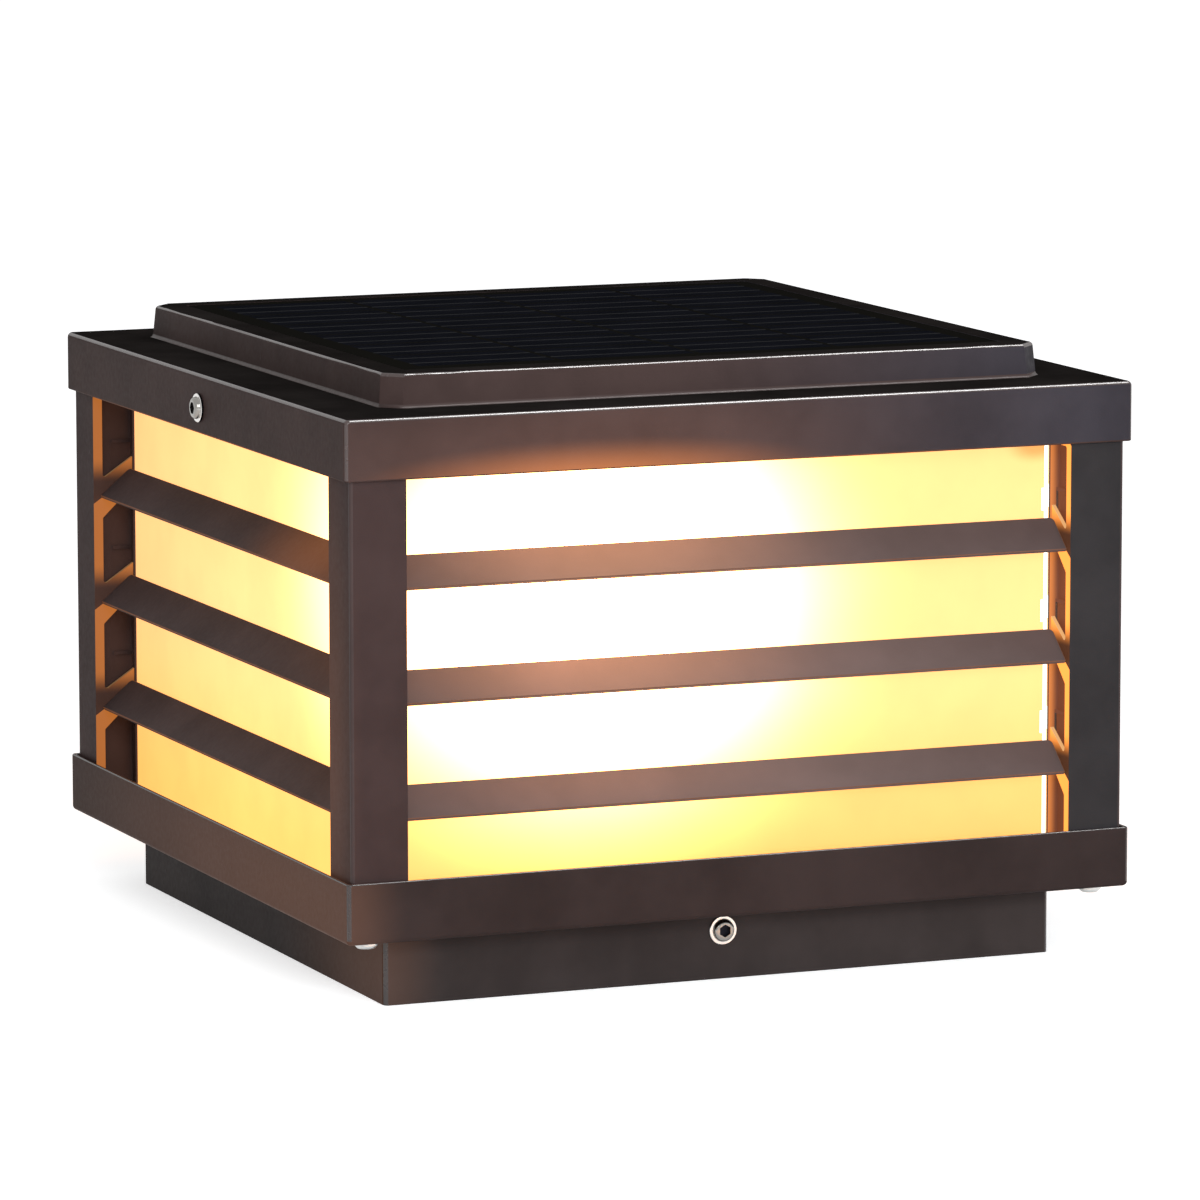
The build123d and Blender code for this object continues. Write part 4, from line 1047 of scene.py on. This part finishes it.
@dataclass
class Cap:
    """The roof: folded cap, solar laminate and what hangs under it.

    Args:
        bench: Where the pieces are made.
        top_normal: Faces whose normal's z is more than this are the top.
        rim_level: Bends under this level are the skirt's rim, in metres.
        bright_from: Bends that turn by more than this are bright, in degrees.
        foot_level: Level of the brim, where the raised stage starts.
        foot_span: How far from the middle the stage's foot lies, at least and at most.
        foot_bend: The bend's radius there.
        foot_rise: From how far under to how far over the brim that bend's facets lie.
        foot_normal: The least z of their normals.
        edge: Width of the laminate's eased edges.
    """

    bench: Bench
    top_normal: float = 0.93
    rim_level: float = 0.1575
    bright_from: float = 27.0
    foot_level: float = 0.1745
    foot_span: tuple[float, float] = (0.1, 0.106)
    foot_bend: float = 1.1 * MM
    foot_rise: tuple[float, float] = (-0.1 * MM, 1.4 * MM)
    foot_normal: float = 0.1
    edge: float = 0.3 * MM

    def bend_foot(self, mesh: bmesh.types.BMesh) -> None:
        """Rounds the inside corner where the raised stage meets the brim.

        Args:
            mesh: The cap's mesh, which is changed.
        """
        inner, outer = self.foot_span

        def at_foot(vert: bmesh.types.BMVert) -> bool:
            """Whether a vertex is on the stage's foot."""
            spot = vert.co
            return abs(spot.z - self.foot_level) < 0.05 * MM and inner < max(abs(spot.x), abs(spot.y)) < outer

        edges = [edge for edge in mesh.edges if edge.is_manifold and all(at_foot(vert) for vert in edge.verts)
                 and edge.calc_face_angle(0.0) > 1.0]
        self.bench.bevel(mesh, edges, self.foot_bend, segments=4)
        log.info("stage foot: %d edges rounded", len(edges))

    def paint(self, face: bmesh.types.BMFace) -> int:
        """Tells the top faces, the bends and the skirt's lower rim from the flats.

        Args:
            face: A face of the cap.

        Returns:
            Its finish: 0 for flats, 1 for the top, painted darker as painted shade, 2 for bends, 3 for the rim,
                painted with a glow of lamp light, and 4 for the stage's foot.
        """
        if face.normal.z > self.top_normal:
            return 1
        level = face.calc_center_median().z
        low, high = self.foot_rise
        if (low < level - self.foot_level < high and face.normal.z > self.foot_normal
                and self.bench.on_bend(face, 0.7 * MM, 3.0)):
            return 4
        if level < self.rim_level and self.bench.on_bend(face):
            return 3
        return 2 if self.bench.on_bend(face, turned=self.bright_from) else 0

    def build(self) -> None:
        """Builds and dresses the cap's pieces."""
        self.bench.dressed_copy("roof_cap", Body.CAP, "cap_coat", paint=self.paint, shape=self.bend_foot,
                                more=("cap_top_painted_dark", "cap_bend", "cap_rim_painted_glow", "cap_foot"), crease=40.0)
        self.bench.dressed_copy("solar_panel", Body.CAP, "solar_laminate", self.edge)
        for node, finish in (("panel_ledge", "zinc_plate"), ("panel_gasket", "seal_foam"),
                             ("junction_box", "black_plastic"), ("lead_grommet", "seal_rubber")):
            self.bench.dressed_copy(node, Body.CAP, finish)
        self.bench.dressed_copy("lamp_leads", Body.CAP, "lead_sheath", crease=60.0)


@dataclass
class Louvres:
    """The louvred frame: posts with combs, slats, rails, frosted sheets and their channels.

    Args:
        bench: Where the pieces are made.
        edge: Width of the slats' eased edges, in metres.
        comb_plane: The combs' inner faces, from the middle.
        comb_sheet: The combs' thickness.
        comb_ends: The levels between which the combs' cut edges are painted as lit.
        comb_depth: How deep behind the posts' faces the windows' corners end.
        web_plane, leg_plane: The faces of the rails' webs and legs, from the middle.
        post_face: The posts' outer faces, from the middle.
        spine: The windows' outer side, behind the posts' faces.
        slat_level: Level of the lowest slat's outer edge.
        slat_pitch: Height from slat to slat.
        slat_slope: The slats' rise per metre of depth.
        slat_rows: How many slats a side has.
        window_ends: Levels of the highest and the lowest corner of the windows.
        end_reach: How far round those two corners points are drawn in.
        over_slat, under_slat: Height of a corner over or under a slat, and its reach.
        tight: The share of its radius that a drawn-in corner keeps.
    """

    bench: Bench
    edge: float = 0.25 * MM
    comb_plane: float = 0.1056
    comb_sheet: float = 1.2 * MM
    comb_ends: tuple[float, float] = (0.027, 0.156)
    comb_depth: float = 12.0 * MM
    web_plane: float = 0.1082
    leg_plane: float = 0.1102
    post_face: float = 0.123
    spine: float = 3.0 * MM
    slat_level: float = 0.0569
    slat_pitch: float = 0.0336
    slat_slope: float = 8.7 / 12.8
    slat_rows: int = 3
    window_ends: tuple[float, float] = (0.1553, 0.0322)
    end_reach: float = 2.1 * MM
    over_slat: tuple[float, float] = (3.7 * MM, 4.0 * MM)
    under_slat: tuple[float, float] = (8.6 * MM, 1.0 * MM)
    tight: float = 0.4

    def corner_levels(self) -> list[tuple[float, float]]:
        """Finds the levels of the windows' corners at the spine.

        Returns:
            Each corner's level with its reach, in metres.
        """
        levels = [(level, self.end_reach) for level in self.window_ends]
        for row in range(self.slat_rows):
            slat = self.slat_level + row * self.slat_pitch + self.slat_slope * self.spine
            levels += [(slat + self.over_slat[0], self.over_slat[1]),
                       (slat - self.under_slat[0], self.under_slat[1])]
        return levels

    def tighten(self, mesh: bmesh.types.BMesh) -> None:
        """Draws the rounded corners of the combs' windows in, about the sharp corners that they replace.

        Args:
            mesh: A post's mesh, which is changed.
        """
        levels = self.corner_levels()
        moved = 0
        for vert in mesh.verts:
            for across, along in ((0, 1), (1, 0)):
                depth = self.post_face - abs(vert.co[along])
                in_sheet = -0.1 * MM < abs(vert.co[across]) - self.comb_plane < self.comb_sheet + 0.1 * MM
                if not in_sheet or not self.spine - 0.02 * MM < depth < self.comb_depth:
                    continue
                for level, reach in levels:
                    off = Vector((depth - self.spine, vert.co.z - level))
                    if off.length < reach:
                        vert.co[along] = math.copysign(self.post_face - self.spine - off.x * self.tight,
                                                       vert.co[along])
                        vert.co.z = level + off.y * self.tight
                        moved += 1
                        break
        log.info("comb corners: %d points drawn in", moved)

    def paint_post(self, face: bmesh.types.BMFace) -> int:
        """Tells a post's faces apart.

        Args:
            face: A face of the post.

        Returns:
            Its finish: 1 for the combs' faces to the light, painted with lamp light, 2 for bends, 3 for the combs'
                cut edges, painted with a glow of lamp light, else 0.
        """
        if self.bench.looks_in(face, self.comb_plane):
            return 1
        spot = face.calc_center_median()
        foot, head = self.comb_ends
        if any(0.0 < abs(spot[axis]) - self.comb_plane < self.comb_sheet and abs(face.normal[axis]) < 0.1
               for axis in (0, 1)) and foot < spot.z < head:
            return 3
        return 2 if self.bench.on_bend(face) else 0

    def paint_rail(self, face: bmesh.types.BMFace) -> int:
        """Tells a rail's faces apart.

        Args:
            face: A face of the rail.

        Returns:
            Its finish: 1 for the webs' faces and the tabs, 2 for the legs' outer faces, both painted with lamp
                light, else 0.
        """
        spot = face.calc_center_median()
        if self.bench.looks_in(face, self.web_plane) or max(abs(spot.x), abs(spot.y)) > self.leg_plane + 0.5 * MM:
            return 1
        return 2 if any(abs(abs(spot[axis]) - self.leg_plane) < 0.1 * MM and face.normal[axis] * spot[axis] > 0.0
                        and abs(face.normal[axis]) > 0.9 for axis in (0, 1)) else 0

    def paint_slat(self, face: bmesh.types.BMFace) -> int:
        """The slat's finishes: 1 for its eased edges, else 0."""
        # Painted light: the eased edges take the glowing finish.
        return int(self.bench.on_bend(face, 0.5 * MM))

    def build(self) -> None:
        """Builds and dresses the frame's pieces."""
        for corner in Corner:
            self.bench.dressed_copy(f"post_{corner.value}", Body.LANTERN, "frame_coat", paint=self.paint_post,
                                    shape=self.tighten, more=("comb_lit", "frame_bend", "comb_edge_painted_glow"))
            self.bench.dressed_copy(f"rail_{corner.value}", Body.LANTERN, "rail_coat", paint=self.paint_rail,
                                    more=("web_lit", "leg_lit"))
        for side in Side:
            self.bench.dressed_copy(f"panel_{side.label}", Body.LANTERN, f"{side.label}_light", slot="opal_sheet")
            for row in range(1, self.slat_rows + 1):
                self.bench.dressed_copy(f"slat_{side.label}_{row}", Body.LANTERN, "louvre_coat", self.edge,
                                        paint=self.paint_slat, more=("louvre_rim_painted_glow",))
        self.bench.dressed_copy("panel_channels", Body.LANTERN, "rail_coat")
        self.bench.dressed_copy("top_frame", Body.LANTERN, "frame_coat")


@dataclass
class Base:
    """Tray, plinth and the strap inside."""

    bench: Bench

    def paint(self, face: bmesh.types.BMFace) -> int:
        """The finishes of a tray or ring: 1 for bends that look up or sideways, else 0."""
        return int(face.normal.z > -0.05 and self.bench.on_bend(face, turned=15.0))

    def build(self) -> None:
        """Builds and dresses the base's pieces."""
        for node, slot in (("bottom_tray", "tray"), ("plinth", "plinth")):
            self.bench.dressed_copy(node, Body.LANTERN, f"{slot}_coat", slot="tray_coat", crease=50.0,
                                    paint=self.paint, more=(f"{slot}_bend",))
        for node in ("mounting_bracket", "bracket_nuts", "cap_nuts", "tray_screws"):
            self.bench.dressed_copy(node, Body.LANTERN, "zinc_plate")


@dataclass
class DomeScrews:
    """Stainless button-head screws with a washer rim and a hexagon socket.

    Args:
        bench: Where the pieces are made.
        rim: Radius of the washer rim.
        rim_height: Its height.
        dome: Radius of the dome above it.
        crown: Radius of the flat on the dome.
        height: The head's whole height.
        socket: The socket's width across its flats.
        socket_depth: Its depth.
        shank: Radius of the shank.
        length: Its length.
        ease: Width of the eased edges.
        arc_steps: Angles of the dome's outline, in degrees.
        facets: Segments round the screw.
    """

    bench: Bench
    rim: float = 4.35 * MM
    rim_height: float = 0.8 * MM
    dome: float = 3.35 * MM
    crown: float = 2.35 * MM
    height: float = 2.2 * MM
    socket: float = 3.4 * MM
    socket_depth: float = 1.3 * MM
    shank: float = 2.4 * MM
    length: float = 9.6 * MM
    ease: float = 0.15 * MM
    arc_steps: tuple[int, ...] = (0, 15, 32, 50, 68, 90)
    facets: int = 48

    def paint(self, face: bmesh.types.BMFace) -> int:
        """A screw's finishes, before it is turned to its place.

        Args:
            face: A face of the screw.

        Returns:
            0 for the bright rim, 1 for the dome, painted darker as a painted reflection, and 2 for the socket and
            the rim's side, painted near black as painted shade.
        """
        spot = face.calc_center_median()
        radius = math.hypot(spot.x, spot.y)
        if spot.z < self.rim_height - 0.2 * MM or radius < 0.9 * self.socket / 2 + 0.05 * MM:
            return 2
        return int(radius < self.dome + 0.02 * MM and spot.z > self.rim_height + 0.02 * MM)

    def screw(self, seat: Vector, out: Vector) -> bmesh.types.BMesh:
        """One screw.

        Args:
            seat: The middle of its seat, where the head meets the sheet.
            out: The way that its head points.

        Returns:
            Its mesh, in place.
        """
        mesh = bmesh.new()
        dome_rise = self.height - self.rim_height
        arc = [(self.crown + (self.dome - self.crown) * math.cos(turn),
                self.rim_height + dome_rise * math.sin(turn))
               for turn in map(math.radians, self.arc_steps)]
        ease = self.ease
        outline = [(self.shank - ease, -self.length), (self.shank, ease - self.length), (self.shank, 0.0),
                   (self.rim - ease, 0.0), (self.rim, ease), (self.rim, self.rim_height - ease),
                   (self.rim - ease, self.rim_height), (self.dome + ease, self.rim_height),
                   (self.dome + 0.05 * MM, self.rim_height - 0.1 * MM), *arc]
        points = [mesh.verts.new((radius, 0.0, rise)) for radius, rise in outline]
        edges = [mesh.edges.new(pair) for pair in zip(points, points[1:])]
        bmesh.ops.spin(mesh, geom=points + edges, cent=(0, 0, 0), axis=(0, 0, 1), angle=2 * math.pi,
                       steps=self.facets, use_merge=True, use_duplicate=False)
        bmesh.ops.remove_doubles(mesh, verts=mesh.verts, dist=1e-7)
        mouth = [edge for edge in mesh.edges if edge.is_boundary and edge.verts[0].co.z > 0.0]
        foot = [edge for edge in mesh.edges if edge.is_boundary and edge.verts[0].co.z < 0.0]
        hexagon = bmesh.ops.create_circle(mesh, segments=6, radius=self.socket / math.sqrt(3.0))["verts"]
        bmesh.ops.translate(mesh, verts=hexagon, vec=(0, 0, self.height))
        ring = [edge for edge in mesh.edges if all(vert in hexagon for vert in edge.verts)]
        bmesh.ops.bridge_loops(mesh, edges=mouth + ring)
        sunk = bmesh.ops.extrude_edge_only(mesh, edges=ring)["geom"]
        low = [part for part in sunk if isinstance(part, bmesh.types.BMVert)]
        bmesh.ops.translate(mesh, verts=low, vec=(0, 0, -self.socket_depth))
        for loop in ([part for part in sunk if isinstance(part, bmesh.types.BMEdge) and part.is_boundary], foot):
            bmesh.ops.contextual_create(mesh, geom=loop)
        bmesh.ops.recalc_face_normals(mesh, faces=mesh.faces)
        for face in mesh.faces:
            face.material_index = self.paint(face)
        turn = Vector((0, 0, 1)).rotation_difference(out).to_matrix()
        bmesh.ops.rotate(mesh, verts=mesh.verts, cent=(0, 0, 0), matrix=turn)
        bmesh.ops.translate(mesh, verts=mesh.verts, vec=seat)
        return mesh

    def pair(self, node: str, body: Body, out: Vector) -> None:
        """The two screws of a node, one on each side.

        Args:
            node: The CAD node.
            body: The body that they ride on.
            out: The way that the first one's head points.
        """
        low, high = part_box(node)
        middle = (low + high) / 2
        reach = Vector(abs(part) for part in out).dot((high - low) / 2)
        both = bmesh.new()
        for way in (out, -out):
            one = self.screw(middle + way * (reach - self.height), way)
            data = bpy.data.meshes.new("screw")
            one.to_mesh(data)
            one.free()
            both.from_mesh(data)
            bpy.data.meshes.remove(data)
        self.bench.hand_over(both, f"{node}_dressed", body, "stainless", (node,), crease=35.0,
                             more=("screw_dome_painted_reflection", "screw_painted_shade"))

    def build(self) -> None:
        """Builds the cap's and the plinth's screws."""
        self.pair("cap_screws", Body.CAP, Side.LEFT.out)
        self.pair("plinth_screws", Body.LANTERN, Side.FRONT.out)


@dataclass
class LampUnit:
    """The deck with its housing, battery, board, light and door."""

    bench: Bench

    def build(self) -> None:
        """Builds and dresses the unit's pieces."""
        for node, finish in (("lamp_deck", "white_coat"), ("lamp_housing", "white_plastic"),
                             ("housing_gasket", "seal_rubber"), ("battery_holder", "black_plastic"),
                             ("battery_cells", "cell_wrap"), ("battery_contacts", "stainless"),
                             ("controller_board", "board_green"), ("power_switch", "black_plastic"),
                             ("led_board", "led_board_white"), ("led_chips", "led_phosphor"),
                             ("reflector_ring", "reflector_white"), ("frosted_dome", "opal_dome"),
                             ("dome_gasket", "seal_rubber"), ("dome_retainer", "white_plastic"),
                             ("lamp_screws", "zinc_plate"), ("hinge_pin", "stainless")):
            self.bench.dressed_copy(node, Body.CAP, finish)
        self.bench.dressed_copy("battery_door", Body.DOOR, "white_plastic")
        self.bench.dressed_copy("door_seal", Body.DOOR, "seal_rubber")
        self.bench.dressed_copy("power_button", Body.BUTTON, "button_rubber")


@dataclass
class Studio:
    """The floor, the world, the lamps and the camera.

    Args:
        lens: The camera's lens, in mm.
        sensor: Its sensor's width, in mm.
        turn: Its turn about the vertical, in degrees.
        tilt: How far it looks down, in degrees.
        roll: Its roll, in degrees.
        stand: Where it stands, in metres.
        ambient: The world's strength for light on the object.
        floor_lift: White added to the floor for the camera alone.
        floor_half: Half the floor's width, in metres.
        paper: The floor's grey.
    """

    lens: float = 226.806
    sensor: float = 36.0
    turn: float = -22.4389
    tilt: float = 8.33116
    roll: float = -0.05405
    stand: Triple = (-0.87328, -2.12697, 0.43561)
    ambient: float = 0.55
    floor_lift: float = 0.6
    floor_half: float = 30.0
    paper: float = 0.8

    def camera(self) -> None:
        """Sets the camera at the photograph's viewing angle."""
        data = bpy.data.cameras.new("camera")
        data.lens = self.lens
        data.sensor_width = self.sensor
        data.clip_end = 50.0
        item = bpy.data.objects.new("camera", data)
        bpy.context.scene.collection.objects.link(item)
        aim = (Matrix.Rotation(math.radians(self.turn), 4, "Z")
               @ Matrix.Rotation(math.radians(90.0 - self.tilt), 4, "X")
               @ Matrix.Rotation(math.radians(self.roll), 4, "Z"))
        item.matrix_world = Matrix.Translation(self.stand) @ aim
        bpy.context.scene.camera = item

    @staticmethod
    def cleared(block: Union[bpy.types.World, bpy.types.Material]) -> bpy.types.NodeTree:
        """Empties the node tree of a world or a material.

        Args:
            block: The world or material.

        Returns:
            Its tree.
        """
        block.use_nodes = True
        block.node_tree.nodes.clear()
        return block.node_tree

    @staticmethod
    def seen(tree: bpy.types.NodeTree) -> bpy.types.NodeSocket:
        """Tells the rays that show a surface from those that carry light.

        Args:
            tree: The node tree that it is added to.

        Returns:
            A socket that is 1 for camera, glossy and transmission rays.
        """
        path = tree.nodes.new("ShaderNodeLightPath")
        total = path.outputs["Is Camera Ray"]
        for name in ("Is Glossy Ray", "Is Transmission Ray"):
            added = tree.nodes.new("ShaderNodeMath")
            added.operation = "MAXIMUM"
            tree.links.new(total, added.inputs[0])
            tree.links.new(path.outputs[name], added.inputs[1])
            total = added.outputs[0]
        return total

    def world(self) -> None:
        """A white surround for the eye, and a plain soft light for the object."""
        world = bpy.data.worlds.new("surround")
        tree = self.cleared(world)
        output = tree.nodes.new("ShaderNodeOutputWorld")
        mixer = tree.nodes.new("ShaderNodeMixShader")
        for index, strength in ((1, self.ambient), (2, 1.0)):
            shade = tree.nodes.new("ShaderNodeBackground")
            shade.inputs["Color"].default_value = (1, 1, 1, 1)
            shade.inputs["Strength"].default_value = strength
            tree.links.new(shade.outputs[0], mixer.inputs[index])
        tree.links.new(self.seen(tree), mixer.inputs[0])
        tree.links.new(mixer.outputs[0], output.inputs["Surface"])
        bpy.context.scene.world = world

    def floor(self) -> None:
        """A pale floor that keeps the object's shadow and is white to the eye."""
        mesh = bmesh.new()
        bmesh.ops.create_grid(mesh, x_segments=1, y_segments=1, size=self.floor_half)
        data = bpy.data.meshes.new("floor")
        mesh.to_mesh(data)
        mesh.free()
        item = bpy.data.objects.new("floor", data)
        bpy.context.scene.collection.objects.link(item)
        material = bpy.data.materials.new("floor_paper")
        tree = self.cleared(material)
        output = tree.nodes.new("ShaderNodeOutputMaterial")
        paper = tree.nodes.new("ShaderNodeBsdfDiffuse")
        paper.inputs["Color"].default_value = (self.paper, self.paper, self.paper, 1)
        lift = tree.nodes.new("ShaderNodeEmission")
        lift.inputs["Color"].default_value = (1, 1, 1, 1)
        strength = tree.nodes.new("ShaderNodeMath")
        strength.operation = "MULTIPLY"
        strength.inputs[1].default_value = self.floor_lift
        tree.links.new(self.seen(tree), strength.inputs[0])
        tree.links.new(strength.outputs[0], lift.inputs["Strength"])
        both = tree.nodes.new("ShaderNodeAddShader")
        tree.links.new(paper.outputs[0], both.inputs[0])
        tree.links.new(lift.outputs[0], both.inputs[1])
        tree.links.new(both.outputs[0], output.inputs["Surface"])
        data.materials.append(material)

    @staticmethod
    def lamp(name: str, spot: Triple, target: Triple,
             size: tuple[float, float], power: float, colour: Colour = (1.0, 1.0, 1.0),
             diffuse: bool = True, glossy: bool = True) -> None:
        """An area lamp that the camera doesn't see.

        Args:
            name: Its name.
            spot: Where it is, in metres.
            target: What it points at.
            size: Its width and height, in metres.
            power: Its power, in watts.
            colour: Its colour.
            diffuse: Whether it lights surfaces.
            glossy: Whether it shows in reflections.
        """
        data = bpy.data.lights.new(name, "AREA")
        data.shape = "RECTANGLE"
        data.size, data.size_y = size
        data.energy = power
        data.color = colour
        item = bpy.data.objects.new(name, data)
        bpy.context.scene.collection.objects.link(item)
        item.location = spot
        item.rotation_euler = (Vector(target) - Vector(spot)).to_track_quat("-Z", "Y").to_euler()
        item.visible_camera = False
        item.visible_diffuse = diffuse
        item.visible_glossy = glossy

    def build(self) -> None:
        """Sets the whole studio up."""
        self.camera()
        self.world()
        self.floor()
        self.lamp("key", (-0.9, -2.2, 1.3), (0, 0, 0.1), (1.6, 1.2), 20.0)
        self.lamp("front", (-0.1, -2.5, 0.6), (0, 0, 0.1), (1.4, 1.0), 62.0, (0.93, 0.97, 1.0), glossy=False)
        self.lamp("bend_line", (0.62, -0.24, 1.6), (0, 0, 0.17), (0.5, 0.5), 24.0, diffuse=False)
        bpy.context.scene.view_settings.view_transform = "Standard"


def main() -> None:
    """Builds every class in order."""
    palette = Palette()
    bench = Bench(palette)
    for part in (Cap(bench), Louvres(bench), Base(bench), DomeScrews(bench), LampUnit(bench)):
        part.build()
        log.info("%s is done", type(part).__name__)
    Studio().build()
    bpy.context.view_layer.update()


if __name__ == "__main__":
    main()
